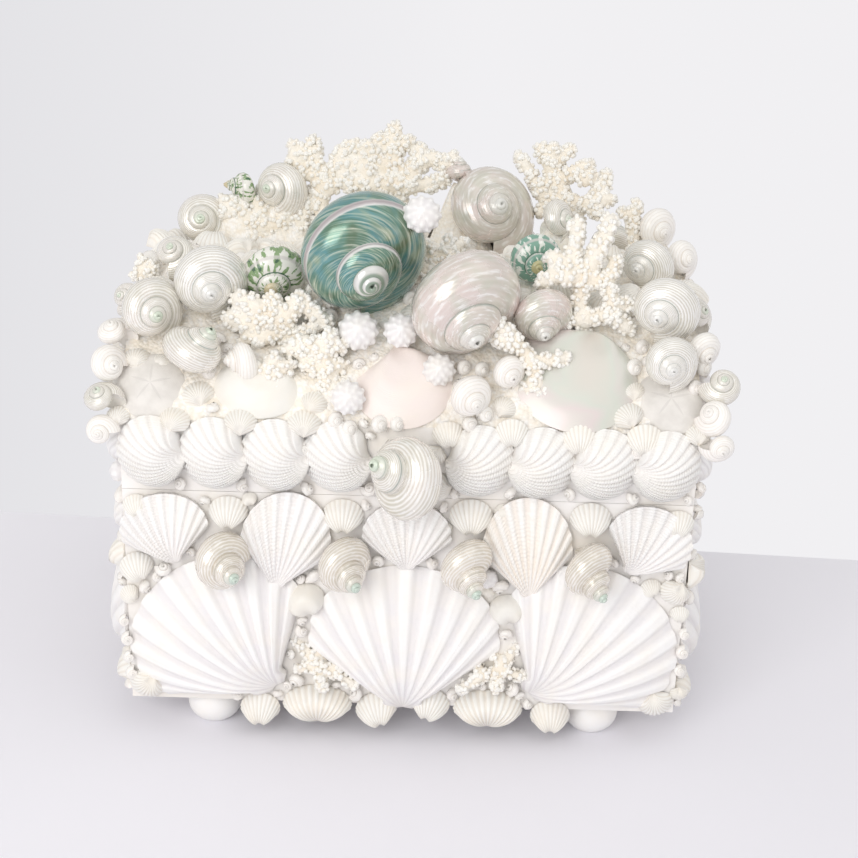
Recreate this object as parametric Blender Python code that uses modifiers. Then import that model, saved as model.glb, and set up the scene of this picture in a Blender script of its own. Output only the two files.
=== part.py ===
"""Shell box: a hollow white wooden chest on four feet under a loose hollow domed lid.

Every face is covered with shells. All lengths are in metres and +Z is up.
"""

import math
import random

import bmesh
import bpy
from mathutils import Matrix, Vector

# The wooden chest
box_length = 0.330
box_depth = 0.230
base_height = 0.141
wall = 0.008
lid_rim_height = 0.044
lid_rise = 0.058
lid_arc_steps = 14
foot_height = 0.022
foot_diameter = 0.034
foot_inset_side = 0.048
foot_inset_front = 0.019

# Clearances between pieces that touch
touch_gap = 0.0003
row_gap = 0.0008
edge_margin = 0.003
fuse_overlap = 0.0010

# Every ribbed valve: half its fan, and how its section swells from the beak and falls to the edge
fan_spread = math.radians(104)
fan_least_columns = 10
fan_first_ring = 0.05
fan_full_from = 0.3
fan_fall_power = 2.4
fan_side_power = 5

# Big scallops, three across the front and the back and two on each side
scallop_depth = 0.017
scallop_ribs = 11
scallop_rib_height = 0.0026
scallop_row_height = 0.0965
outer_scallop_turn = math.radians(42)

# Medium scallops in the row above them
medium_depth = 0.009
medium_ribs = 12
medium_rib_height = 0.0014
upper_row_gap = 0.0225
scallop_notch = 0.0113

# Ribbed cockles along the lid and under the front
cockle_depth = 0.011
cockle_ribs = 8
cockle_rib_height = 0.0012
hidden_ribs = 5
bottom_cockle_width = 0.040
bottom_cockle_height = 0.026
bottom_cockle_pitch = 0.104

# Smooth clams and sand dollars on the slopes of the lid
clam_depth = 0.008
back_clam_height = 0.036
dollar_diameter = 0.035
dollar_thickness = 0.006
slope_band_start = 0.002

# Turban shells
front_turban_overhang = 0.00325
front_turban_rise = 0.0075
handle_turban_radius = 0.0230
whorl_growth = 2.15
whorl_turns = 3.2
whorl_tube = 1.12
spire_rise = 2.1
seat_depth = 0.0012

# The pile on the lid is composed for a lid of this length and half arc
pile_length = 0.330
pile_half_arc = 0.1335
pile_division = 0.001
back_turban_count = 9

# Coral: spacing and reach of its arms are in thicknesses
coral_arm_spacing = 2.4
coral_arm_reach = (3.2, 4.4)
coral_arm_lean = (0.5, 0.95)
coral_voxel = 0.0022
coral_kept = 0.10
coral_foot = 0.0015

colours = {
    "painted_wood": ((0.90, 0.89, 0.87), 0.55, 0.0),
    "white_shell": ((0.93, 0.91, 0.88), 0.45, 0.0),
    "cream_nacre": ((0.83, 0.80, 0.72), 0.25, 0.1),
    "green_nacre": ((0.12, 0.36, 0.34), 0.22, 0.1),
    "mottled_shell": ((0.55, 0.66, 0.52), 0.30, 0.0),
    "pink_clam": ((0.90, 0.80, 0.75), 0.40, 0.0),
    "sand_dollar": ((0.82, 0.81, 0.79), 0.75, 0.0),
    "coral": ((0.88, 0.84, 0.74), 0.85, 0.0),
}

parts = None
cutters = None
root = None


def material(kind):
    """The Principled material of that kind, made once."""
    found = bpy.data.materials.get(kind)
    if found:
        return found
    colour, roughness, metallic = colours[kind]
    made = bpy.data.materials.new(kind)
    made.use_nodes = True
    shader = made.node_tree.nodes["Principled BSDF"]
    shader.inputs["Base Color"].default_value = (*colour, 1.0)
    shader.inputs["Roughness"].default_value = roughness
    shader.inputs["Metallic"].default_value = metallic
    return made


def add_object(name, bm, kind, matrix):
    """An object from a bmesh, parented to the root and placed by its own matrix."""
    bmesh.ops.recalc_face_normals(bm, faces=bm.faces)
    if bm.calc_volume(signed=True) < 0:
        bmesh.ops.reverse_faces(bm, faces=bm.faces)
    mesh = bpy.data.meshes.new(name)
    bm.to_mesh(mesh)
    bm.free()
    mesh.materials.append(material(kind))
    made = bpy.data.objects.new(name, mesh)
    parts.objects.link(made)
    made.parent = root
    made.matrix_local = matrix
    return made


def fuse(name, pieces):
    """One node from shells that overlap a little: the first is joined with the others."""
    first = pieces[0]
    first.name = name
    for piece in pieces[1:]:
        parts.objects.unlink(piece)
        cutters.objects.link(piece)
        piece.hide_render = True
        piece.display_type = "WIRE"
        join = first.modifiers.new("join_" + piece.name, "BOOLEAN")
        join.operation = "UNION"
        join.solver = "MANIFOLD"
        join.object = piece
    return first


# Frames: +Z of a frame is the outward normal of a face and +Y runs up it
def face_frame(origin, normal):
    up = Vector((0, 0, 1))
    normal = Vector(normal)
    across = up.cross(normal)
    turn = Matrix((across, up, normal)).transposed().to_4x4()
    return Matrix.Translation(origin) @ turn


base_bottom = foot_height + touch_gap
seam_height = base_bottom + base_height
lid_bottom = seam_height + touch_gap
rim_top = lid_bottom + lid_rim_height
half_depth = box_depth / 2
half_length = box_length / 2
arc_radius = (half_depth**2 + lid_rise**2) / (2 * lid_rise)
arc_centre_height = rim_top + lid_rise - arc_radius
half_arc = arc_radius * math.asin(half_depth / arc_radius)
pile_spread = Vector((box_length / pile_length, half_arc / pile_half_arc))
pile_unit = min(pile_spread) * pile_division
pile_step = pile_spread * pile_division

faces = {
    "front": (Vector((0, -half_depth, 0)), (0, -1, 0), box_length),
    "back": (Vector((0, half_depth, 0)), (0, 1, 0), box_length),
    "left": (Vector((-half_length, 0, 0)), (-1, 0, 0), box_depth),
    "right": (Vector((half_length, 0, 0)), (1, 0, 0), box_depth),
}


def wall_frame(face, height):
    origin, normal, _ = faces[face]
    return face_frame(origin + Vector((0, 0, height)), normal)


def arc_frame(x, along):
    """A frame on the lid's arc: along runs over the lid from its ridge, to the back."""
    angle = along / arc_radius
    normal = Vector((0, math.sin(angle), math.cos(angle)))
    uphill = Vector((0, math.cos(angle), -math.sin(angle)))
    turn = Matrix((Vector((1, 0, 0)), uphill, normal)).transposed().to_4x4()
    point = Vector((x, 0, arc_centre_height)) + normal * arc_radius
    return Matrix.Translation(point) @ turn


def on(frame, across, up, turn=0.0):
    """A place on a frame, a touch gap above it."""
    return frame @ Matrix.Translation((across, up, touch_gap)) @ Matrix.Rotation(turn, 4, "Z")


# Wood
def solidified(name, bm, matrix):
    made = add_object(name, bm, "painted_wood", matrix)
    shell = made.modifiers.new("wall", "SOLIDIFY")
    shell.thickness = wall
    shell.offset = -1
    shell.use_even_offset = True
    return made


def make_base():
    bm = bmesh.new()
    bmesh.ops.create_cube(bm, size=1)
    bmesh.ops.scale(bm, vec=(box_length, box_depth, base_height), verts=bm.verts)
    top = [face for face in bm.faces if face.normal.z > 0.5]
    bmesh.ops.delete(bm, geom=top, context="FACES_ONLY")
    middle = base_bottom + base_height / 2
    return solidified("box_base", bm, Matrix.Translation((0, 0, middle)))


def make_lid():
    """Side profile of the rim and the arc, swept along the lid, with its two ends filled."""
    bm = bmesh.new()
    edge_angle = half_arc / arc_radius
    profile = [Vector((0, -half_depth, lid_bottom))]
    for step in range(lid_arc_steps + 1):
        angle = edge_angle * (2 * step / lid_arc_steps - 1)
        across = arc_radius * math.sin(angle)
        height = arc_centre_height + arc_radius * math.cos(angle)
        profile.append(Vector((0, across, height)))
    profile.append(Vector((0, half_depth, lid_bottom)))
    end = bm.faces.new([bm.verts.new(point) for point in profile])
    bmesh.ops.translate(bm, vec=(-half_length, 0, 0), verts=bm.verts)
    grown = bmesh.ops.extrude_face_region(bm, geom=[end], use_keep_orig=True)
    moved = [item for item in grown["geom"] if isinstance(item, bmesh.types.BMVert)]
    bmesh.ops.translate(bm, vec=(box_length, 0, 0), verts=moved)
    bmesh.ops.recalc_face_normals(bm, faces=bm.faces)
    open_side = [face for face in bm.faces if face.normal.z < -0.9]
    bmesh.ops.delete(bm, geom=open_side, context="FACES_ONLY")
    return solidified("lid", bm, Matrix.Identity(4))


def make_feet():
    across = half_length - foot_inset_side
    back = half_depth - foot_inset_front
    for side, x in (("left", -across), ("right", across)):
        for end, y in (("front", -back), ("back", back)):
            bm = bmesh.new()
            bmesh.ops.create_uvsphere(bm, u_segments=10, v_segments=4, radius=foot_diameter / 2)
            flat = foot_height / 2
            for vert in bm.verts:
                vert.co.z = max(-flat, min(flat, vert.co.z))
            bmesh.ops.remove_doubles(bm, verts=bm.verts, dist=1e-6)
            add_object(f"foot_{end}_{side}", bm, "white_shell", Matrix.Translation((x, y, flat)))


# Shells
def fan(width, height, depth, ribs, rib_height, rings, beak_lean=0.0):
    """A ribbed valve, beak at the bottom and flat at the back, centred on its disc."""
    bm = bmesh.new()
    bmesh.ops.create_grid(bm, x_segments=max(fan_least_columns, 2 * ribs), y_segments=rings, size=0.5)
    middle = 0.5 * height
    beak = Vector((beak_lean * width, -middle))
    scallop = rib_height / height
    for vert in bm.verts:
        across = 2 * vert.co.x
        out = fan_first_ring + (1 - fan_first_ring) * (vert.co.y + 0.5)
        wave = -math.cos(math.pi * ribs * (across + 1)) if ribs else 0.0
        reach = (1 + scallop * wave) / (1 + scallop)
        angle = across * fan_spread
        edge = Vector((math.sin(angle) * width / 2, math.cos(angle) * middle))
        point = beak + (edge * reach - beak) * out
        side = 1 - abs(across) ** fan_side_power
        swell = min(1.0, out / fan_full_from) ** 0.5 * (1 - out**fan_fall_power) * side
        crest = rib_height * (1 + wave) / 2 * min(1.0, 4 * (1 - out)) * side
        vert.co = Vector((point.x, point.y, swell * depth + crest))
    close_back(bm)
    return bm


def close_back(bm):
    """Puts the open border on the back plane and fills it with one flat face."""
    border = [edge for edge in bm.edges if edge.is_boundary]
    for edge in border:
        for vert in edge.verts:
            vert.co.z = 0.0
    bmesh.ops.remove_doubles(bm, verts=bm.verts, dist=1e-5)
    border = [edge for edge in bm.edges if edge.is_boundary]
    bmesh.ops.holes_fill(bm, edges=border)


def turban_reach(direction):
    """Distance from the middle of a coiled shell of unit coil to its outline in that direction."""
    furthest = 0.0
    steps = 12
    for step in range(int(whorl_turns * steps)):
        turn = step / steps
        size = whorl_growth**-turn
        angle = 2 * math.pi * turn
        centre = Vector((math.cos(angle), math.sin(angle), 0)) * size
        centre.z = spire_rise * (1 - size)
        tube = whorl_tube * size
        along = direction.dot(centre)
        inside = along**2 - centre.length_squared + tube**2
        if inside > 0:
            furthest = max(furthest, along + math.sqrt(inside))
    return furthest


def turban(radius, spire, frame, columns=10, rings=8):
    """A coiled shell whose spire points along a world direction, seated flat on z = 0."""
    bm = bmesh.new()
    bmesh.ops.create_uvsphere(bm, u_segments=columns, v_segments=rings, radius=1)
    for vert in bm.verts:
        direction = vert.co.normalized()
        vert.co = direction * turban_reach(direction)
    low = Vector([min(vert.co[axis] for vert in bm.verts) for axis in range(3)])
    high = Vector([max(vert.co[axis] for vert in bm.verts) for axis in range(3)])
    middle = (low + high) / 2
    size = 2 * radius / (high.x - low.x)
    turn = Vector(spire).normalized().to_track_quat("Z", "Y").to_matrix()
    local = frame.to_3x3().inverted() @ turn
    for vert in bm.verts:
        vert.co = local @ ((vert.co - middle) * size)
    lowest = min(vert.co.z for vert in bm.verts) + seat_depth
    for vert in bm.verts:
        vert.co.z = max(0.0, vert.co.z - lowest)
    return bm


def branch(bm, start, end, thick, thin):
    """One tapered arm of a coral."""
    run = end - start
    turn = run.to_track_quat("Z", "Y").to_matrix().to_4x4()
    place = Matrix.Translation((start + end) / 2) @ turn
    bmesh.ops.create_cone(
        bm, cap_ends=True, segments=6, radius1=thick, radius2=thin, depth=run.length, matrix=place
    )


def coral(name, frame, tips, thick, seed):
    """Branched coral: arms at the golden angle along leaning stems, in one closed skin."""
    bm = bmesh.new()
    chance = random.Random(seed)
    golden = math.radians(137.5)
    foot = Vector((0, 0, 0))
    for tip in tips:
        tip = Vector(tip) * pile_unit
        branch(bm, foot, tip, thick * 1.15, thick * 0.85)
        arms = max(3, int((tip - foot).length / (coral_arm_spacing * thick)))
        for arm in range(1, arms + 1):
            root_point = foot.lerp(tip, 0.25 + 0.75 * arm / arms)
            angle = arm * golden + chance.uniform(-0.3, 0.3)
            lean = chance.uniform(*coral_arm_lean)
            out = Vector((math.cos(angle), math.sin(angle), lean)).normalized()
            reach = thick * chance.uniform(*coral_arm_reach)
            branch(bm, root_point - out * thick * 0.5, root_point + out * reach, thick * 0.9, thick * 0.7)
    made = add_object(name, bm, "coral", frame)
    skin = made.modifiers.new("skin", "REMESH")
    skin.mode = "VOXEL"
    skin.voxel_size = coral_voxel
    fewer = made.modifiers.new("fewer", "DECIMATE")
    fewer.ratio = coral_kept
    seat_coral(made)
    return made


def seat_coral(made):
    """Keeps the finished skin as the coral's mesh, with the foot of its trunk pressed flat."""
    bpy.context.view_layer.update()
    graph = bpy.context.evaluated_depsgraph_get()
    rough = made.data
    made.data = bpy.data.meshes.new_from_object(made.evaluated_get(graph))
    made.data.name = made.name
    made.modifiers.clear()
    bpy.data.meshes.remove(rough)
    for vert in made.data.vertices:
        if vert.co.z < coral_foot:
            vert.co.z = 0.0


# Rows of shells on the walls
def row_places(length, count):
    """Centres of equal shells in a row, and their pitch."""
    pitch = length / count
    return [pitch * (index - (count - 1) / 2) for index in range(count)], pitch


def big_scallop(name, face, across, up, width, turn):
    bm = fan(width, scallop_row_height, scallop_depth, scallop_ribs, scallop_rib_height, 3)
    add_object(name, bm, "white_shell", on(wall_frame(face, base_bottom), across, up, turn))


def make_big_scallops():
    up = scallop_row_height / 2
    for face in ("front", "back"):
        centres, pitch = row_places(box_length, 3)
        turns = (outer_scallop_turn, 0.0, -outer_scallop_turn)
        for where, across, turn in zip(("left", "middle", "right"), centres, turns):
            big_scallop(f"{face}_scallop_{where}", face, across, up, pitch - row_gap, turn)
    for face in ("left", "right"):
        centres, pitch = row_places(box_depth, 2)
        for where, across in zip(("near", "far"), centres):
            big_scallop(f"{face}_scallop_{where}", face, across, up, pitch - row_gap, 0.0)


def medium(name, face, across, height, width, ribs):
    bm = fan(width, height, medium_depth, ribs, medium_rib_height, 2)
    up = base_height - edge_margin - height / 2
    return add_object(name, bm, "white_shell", on(wall_frame(face, base_bottom), across, up))


def upper_row_places():
    """Centres and width of the five medium scallops on the front, with a gap for each turban."""
    width = (box_length - 4 * upper_row_gap) / 5
    return [(width + upper_row_gap) * (index - 2) for index in range(5)], width


def make_medium_scallops():
    short_height = base_height - edge_margin - scallop_row_height - row_gap
    places, medium_width = upper_row_places()
    for index, across in enumerate(places):
        tall = index % 2 == 1
        height = short_height + scallop_notch if tall else short_height
        name = f"front_upper_scallop_{index + 1}"
        medium(name, "front", across, height, medium_width, medium_ribs)
    for face, count in (("back", 6), ("left", 4), ("right", 4)):
        centres, pitch = row_places(faces[face][2] - 2 * edge_margin, count)
        row = [
            medium(f"{face}_piece_{index}", face, across, short_height, pitch + fuse_overlap, hidden_ribs)
            for index, across in enumerate(centres)
        ]
        fuse(f"{face}_upper_scallops", row)


def make_front_turbans():
    centres, _ = upper_row_places()
    frame = wall_frame("front", base_bottom)
    radius = upper_row_gap / 2 + front_turban_overhang
    for index in range(4):
        across = (centres[index] + centres[index + 1]) / 2
        bm = turban(radius, (0.50, -0.79, -0.36), frame)
        place = on(frame, across, scallop_row_height + front_turban_rise)
        add_object(f"front_turban_{index + 1}", bm, "cream_nacre", place)


def make_bottom_cockles():
    frame = wall_frame("front", base_bottom)
    for where, across in (("left", -bottom_cockle_pitch / 2), ("right", bottom_cockle_pitch / 2)):
        bm = fan(bottom_cockle_width, bottom_cockle_height, cockle_depth, cockle_ribs, cockle_rib_height, 2)
        place = on(frame, across, 0.0, math.pi)
        add_object(f"bottom_cockle_{where}", bm, "white_shell", place)


def cockle_row(name, face, start, end, count, ribs):
    """Cockles side by side along the lid's rim, fused where their edges meet."""
    frame = wall_frame(face, lid_bottom)
    centres, pitch = row_places(end - start, count)
    row = []
    for index, across in enumerate(centres):
        outward = 1 if across + (start + end) / 2 > 0 else -1
        bm = fan(
            pitch + fuse_overlap,
            lid_rim_height,
            cockle_depth,
            ribs,
            cockle_rib_height,
            2,
            beak_lean=-0.25 * outward,
        )
        middle = (start + end) / 2 + across
        up = edge_margin + lid_rim_height / 2
        row.append(add_object(f"{name}_{index}", bm, "white_shell", on(frame, middle, up)))
    return fuse(name, row)


def make_lid_rim():
    inner = handle_turban_radius + row_gap
    outer = half_length - row_gap
    cockle_row("lid_front_cockles_left", "front", -outer, -inner, 4, cockle_ribs)
    cockle_row("lid_front_cockles_right", "front", inner, outer, 4, cockle_ribs)
    cockle_row("lid_back_cockles", "back", -outer, outer, 8, hidden_ribs)
    side = half_depth - row_gap
    for face in ("left", "right"):
        row = cockle_row(f"lid_{face}_cockles", face, -side, side, 5, hidden_ribs)
        fuse(row.name, [row, end_scallop(face)])
    frame = wall_frame("front", lid_bottom)
    bm = turban(handle_turban_radius, (-0.95, -0.10, 0.28), frame, 12, 9)
    add_object("handle_turban", bm, "cream_nacre", on(frame, 0, handle_turban_radius))


def end_scallop(face):
    """The wide scallop on an end of the lid, its beak just behind the row below it."""
    height = lid_rise
    frame = wall_frame(face, rim_top)
    bm = fan(1.6 * height, height, medium_depth, scallop_ribs, medium_rib_height, 2)
    place = on(frame, 0, height / 2 - edge_margin)
    return add_object(f"{face}_end_scallop", bm, "white_shell", place)


# The slopes of the lid
def clam(name, x, along, width, height, kind, turn):
    bm = fan(width, height, clam_depth, 0, 0.0, 3)
    return add_object(name, bm, kind, on(arc_frame(x, along), 0, 0, turn))


def sand_dollar(name, x, along):
    bm = bmesh.new()
    radius = dollar_diameter / 2
    bmesh.ops.create_cone(
        bm, cap_ends=True, segments=20, radius1=radius, radius2=radius * 0.5, depth=dollar_thickness
    )
    place = on(arc_frame(x, along), 0, 0) @ Matrix.Translation((0, 0, dollar_thickness / 2))
    add_object(name, bm, "sand_dollar", place)


# Name, place along the lid, width, height and material of each clam on the front slope,
# in divisions of the pile
slope_clams = (
    ("pale_clam", -88, 50, 36, "white_shell"),
    ("pink_clam", -4, 54, 44, "pink_clam"),
    ("pearl_shell", 93, 70, 52, "cream_nacre"),
)


def make_slope_band():
    low = half_arc - slope_band_start
    across = half_length - dollar_diameter / 2
    for where, x in (("left", -across), ("right", across)):
        sand_dollar(f"sand_dollar_{where}", x, -(low - dollar_diameter / 2))
    for name, x, width, height, kind in slope_clams:
        width, height = width * pile_unit, height * pile_unit
        clam(name, x * pile_step.x, -(low - height / 2), width, height, kind, math.pi)
    row = []
    centres, pitch = row_places(box_length - 2 * edge_margin, 4)
    for index, x in enumerate(centres):
        width = pitch + fuse_overlap
        along = low - back_clam_height / 2
        row.append(clam(f"back_clam_{index}", x, along, width, back_clam_height, "white_shell", 0.0))
    fuse("lid_back_clams", row)


# The pile of shells on top of the lid, in divisions of its length: the place along the lid,
# the place over its arc from the ridge to the back, the radius and where the spire points
pile_turbans = (
    ("green_turban", -29, -44, 34.5, (0.16, -0.98, -0.10), "green_nacre"),
    ("pearl_turban_front", 30, -71, 28.5, (0.16, -0.80, -0.58), "cream_nacre"),
    ("pearl_turban_back", 47, 37, 29, (0.19, -0.80, 0.56), "cream_nacre"),
    ("banded_turban", -82, -43, 16.3, (0.00, -0.97, -0.22), "mottled_shell"),
    ("mottled_turban", 72, -21, 15.5, (0.10, -0.99, 0.10), "mottled_shell"),
    ("pale_turban", 75, -68, 15.5, (0.00, -0.97, -0.22), "cream_nacre"),
    ("silver_turban_1", -117, -57, 19.5, (0.17, -0.98, 0.11), "cream_nacre"),
    ("silver_turban_2", -136, 44, 18, (0.00, -0.91, 0.41), "cream_nacre"),
    ("silver_turban_3", -149, -75, 16, (0.32, -0.92, 0.20), "cream_nacre"),
    ("silver_turban_4", 138, -21, 15.5, (-0.60, -0.80, 0.05), "cream_nacre"),
    ("silver_turban_5", -124, -98, 14.5, (0.30, -0.90, 0.20), "cream_nacre"),
)
# Two turbans that touch, and the row behind the ridge with its pitch
right_pair = ((146, -64, 19, (-0.34, -0.93, 0.02)), (147, -87, 17, (0.00, -0.98, 0.15)))
back_row = (76, 19, 31.5, (0.30, 0.60, 0.75))

# Each coral: its place, its thickness, its seed, and the tips of its stems
pile_corals = (
    ("coral_back", -45, 42, 4.5, 3, ((30, -12, 72), (-22, -10, 60))),
    ("coral_back_right", 101, 40, 4.2, 5, ((-15, -10, 64), (22, -4, 36))),
    ("coral_right", 102, -52, 4.2, 8, ((-16, 14, 20), (4, 36, 24), (14, 8, 20))),
    ("coral_left", -70, -78, 4.0, 4, ((-14, 4, 20), (10, 6, 20), (18, -8, 10))),
    ("coral_middle", -90, 6, 4.2, 6, ((28, 8, 32), (-18, 8, 28))),
)


def pile_turban(name, x, along, radius, spire, kind, columns=10, rings=8):
    """A turban of the pile: its place is in metres and its radius in divisions."""
    frame = arc_frame(x, along)
    bm = turban(radius * pile_unit, spire, frame, columns, rings)
    return add_object(name, bm, kind, on(frame, 0, 0))


def make_pile():
    for name, x, along, radius, spire, kind in pile_turbans:
        pile_turban(name, x * pile_step.x, along * pile_step.y, radius, spire, kind)
    (first_x, first_along, *_), _ = right_pair
    pair = []
    for x, along, radius, spire in right_pair:
        place_x = first_x * pile_step.x + (x - first_x) * pile_unit
        place_along = first_along * pile_step.y + (along - first_along) * pile_unit
        name = f"right_turban_{len(pair)}"
        pair.append(pile_turban(name, place_x, place_along, radius, spire, "cream_nacre"))
    fuse("silver_turbans_right", pair)
    row = []
    along, radius, pitch, spire = back_row
    for index in range(back_turban_count):
        x = (index - (back_turban_count - 1) / 2) * pitch * pile_unit
        name = f"back_turban_{index}"
        row.append(pile_turban(name, x, along * pile_step.y, radius, spire, "cream_nacre", 8, 6))
    fuse("back_turbans", row)
    for name, x, along, thick, seed, tips in pile_corals:
        frame = arc_frame(x * pile_step.x, along * pile_step.y)
        coral(name, on(frame, 0, 0), tips, thick * pile_unit, seed)


def seat_on_origin():
    """Moves the root so that the box of all pieces stands on the origin."""
    bpy.context.view_layer.update()
    graph = bpy.context.evaluated_depsgraph_get()
    low = Vector((math.inf,) * 3)
    high = Vector((-math.inf,) * 3)
    for piece in parts.objects:
        if piece.type != "MESH":
            continue
        shape = piece.evaluated_get(graph)
        for vert in shape.data.vertices:
            point = shape.matrix_world @ vert.co
            low = Vector(map(min, low, point))
            high = Vector(map(max, high, point))
    root.location -= Vector(((low.x + high.x) / 2, (low.y + high.y) / 2, low.z))


def main():
    global parts, cutters, root
    for old in list(bpy.data.objects):
        bpy.data.objects.remove(old, do_unlink=True)
    parts = bpy.data.collections.new("shell_box")
    cutters = bpy.data.collections.new("shell_box_joined")
    bpy.context.scene.collection.children.link(parts)
    bpy.context.scene.collection.children.link(cutters)
    root = bpy.data.objects.new("shell_box_root", None)
    parts.objects.link(root)
    make_base()
    make_lid()
    make_feet()
    make_big_scallops()
    make_medium_scallops()
    make_front_turbans()
    make_bottom_cockles()
    make_lid_rim()
    make_slope_band()
    make_pile()
    seat_on_origin()


main()
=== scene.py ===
"""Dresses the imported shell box: detailed shells, coral and painted wood in place of its plain solids."""

import math
import random

import bpy
import bmesh
import numpy as np
from mathutils import Matrix, Vector, noise


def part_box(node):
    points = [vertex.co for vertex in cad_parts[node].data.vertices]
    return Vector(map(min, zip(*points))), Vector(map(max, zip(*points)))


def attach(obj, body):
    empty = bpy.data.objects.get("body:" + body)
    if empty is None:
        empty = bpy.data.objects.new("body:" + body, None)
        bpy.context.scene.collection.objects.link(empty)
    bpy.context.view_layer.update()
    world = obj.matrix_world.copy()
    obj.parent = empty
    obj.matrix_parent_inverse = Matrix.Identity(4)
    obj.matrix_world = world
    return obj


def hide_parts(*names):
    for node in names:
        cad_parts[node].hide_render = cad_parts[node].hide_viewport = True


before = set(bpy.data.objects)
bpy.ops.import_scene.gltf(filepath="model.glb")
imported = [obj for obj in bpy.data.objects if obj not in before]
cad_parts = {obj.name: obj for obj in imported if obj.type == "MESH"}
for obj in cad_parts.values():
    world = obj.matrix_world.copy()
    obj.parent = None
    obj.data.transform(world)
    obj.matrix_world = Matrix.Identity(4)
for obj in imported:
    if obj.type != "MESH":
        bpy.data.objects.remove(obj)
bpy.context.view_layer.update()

# The wooden box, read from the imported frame
base_low, base_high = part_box("box_base")
lid_low, lid_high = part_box("lid")
half_length = (base_high.x - base_low.x) / 2
half_depth = (base_high.y - base_low.y) / 2
middle_y = (base_high.y + base_low.y) / 2
base_bottom = base_low.z
seam = base_high.z
lid_bottom = lid_low.z
rim_height = 0.044
rim_top = lid_bottom + rim_height
lid_rise = lid_high.z - rim_top
arc_radius = (half_depth**2 + lid_rise**2) / (2 * lid_rise)
arc_centre = lid_high.z - arc_radius
half_arc = arc_radius * math.asin(half_depth / arc_radius)

# The camera that took the photograph
picture = 858
focal_px = 1670
sensor_width = 36
pitch = math.radians(24)
roll = math.radians(1.75)
camera_place = Vector((0.0110, -0.9661, 0.5915))
forward = Vector((0, math.cos(pitch), -math.sin(pitch)))
level_up = Vector((0, math.sin(pitch), math.cos(pitch)))
right = Vector((math.cos(roll), 0, 0)) + level_up * math.sin(roll)
up = level_up * math.cos(roll) - Vector((math.sin(roll), 0, 0))


def turn_to(x, y, z):
    """The turn that brings the axes to x, y and z."""
    return Matrix((x, y, z)).transposed().to_4x4()


def spun(degrees):
    return Matrix.Rotation(math.radians(degrees), 4, "Z")


def raised(height):
    return Matrix.Translation((0, 0, height))


def linked(name, data):
    """A new object of the scene with this data."""
    made = bpy.data.objects.new(name, data)
    bpy.context.scene.collection.objects.link(made)
    return made


def make_camera():
    data = bpy.data.cameras.new("photo_camera")
    data.sensor_width = sensor_width
    data.lens = sensor_width * focal_px / picture
    data.clip_end = 20
    camera = linked("photo_camera", data)
    camera.matrix_world = Matrix.Translation(camera_place) @ turn_to(right, up, -forward)
    bpy.context.scene.camera = camera


make_camera()


# Places on the wood, found along a ray from the camera
nearest, farthest, ray_step = 0.70, 1.45, 0.0005
seat_height = 0.0006
seat_sight = 0.004
end_reach = 0.004


def ray(px, py):
    """The way from the camera through a pixel, of length one along the camera's axis."""
    middle = picture / 2
    return forward + right * ((px - middle) / focal_px) - up * ((py - middle) / focal_px)


def metres(pixels, place):
    """The length that spans so many pixels at a place."""
    depth = (place - camera_place).dot(forward)
    return pixels * depth / focal_px


def outside(points):
    """Height of points above the front and the arc of the lid, or above the ends if that is more."""
    y, z = points[:, 1] - middle_y, points[:, 2]
    arc = np.hypot(y, z - arc_centre) - arc_radius
    over = np.where(z > rim_top, arc, np.abs(y) - half_depth)
    return np.maximum(over, np.abs(points[:, 0]) - half_length)


def at_photo(px, py, lift):
    """The place seen at a pixel of the photograph, at a height above the wood."""
    steps = np.arange(nearest, farthest, ray_step)
    points = np.array(camera_place) + steps[:, None] * np.array(ray(px, py))
    heights = outside(points) - lift
    hit = np.nonzero(heights < 0)[0]
    return Vector(points[hit[0] if len(hit) else int(np.argmin(heights))])


def wall_frame(face, across, height):
    """A frame on a wall of the box, across from its middle, at a height above the floor."""
    normal = Vector({"front": (0, -1, 0), "back": (0, 1, 0), "left": (-1, 0, 0), "right": (1, 0, 0)}[face])
    reach = half_depth if face in ("front", "back") else half_length
    level = Vector((0, 0, 1))
    place = Matrix.Translation(Vector((0, middle_y, height)) + normal * reach)
    return place @ turn_to(level.cross(normal), level, normal) @ Matrix.Translation((across, 0, 0))


def arc_frame(x, along):
    """A frame on the lid's arc: along runs over the lid from its ridge to the back."""
    angle = along / arc_radius
    normal = Vector((0, math.sin(angle), math.cos(angle)))
    uphill = Vector((0, math.cos(angle), -math.sin(angle)))
    point = Vector((x, middle_y, arc_centre)) + normal * arc_radius
    return Matrix.Translation(point) @ turn_to(Vector((1, 0, 0)), uphill, normal)


def under(point):
    """The frame on the wood that carries a point."""
    x, y, z = point.x, point.y - middle_y, point.z
    if abs(x) - half_length > end_reach:
        return wall_frame("left" if x < 0 else "right", y if x > 0 else -y, z)
    if z > rim_top:
        angle = math.atan2(y, z - arc_centre)
        return arc_frame(x, max(-half_arc, min(half_arc, angle * arc_radius)))
    return wall_frame("front", x, z)


# Which parts of each face are covered, on a grid of millimetres
cell = 0.001
cover_low, cover_high = -0.004, 0.022
chart_size = {
    "front": (2 * half_length, rim_top - base_bottom),
    "back": (2 * half_length, rim_top - base_bottom),
    "left": (2 * half_depth, lid_high.z - base_bottom),
    "right": (2 * half_depth, lid_high.z - base_bottom),
    "arc": (2 * half_length, 2 * half_arc),
}
covered = {}
for name, (wide, tall) in chart_size.items():
    covered[name] = np.zeros((int(tall / cell) + 1, int(wide / cell) + 1), bool)


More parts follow.
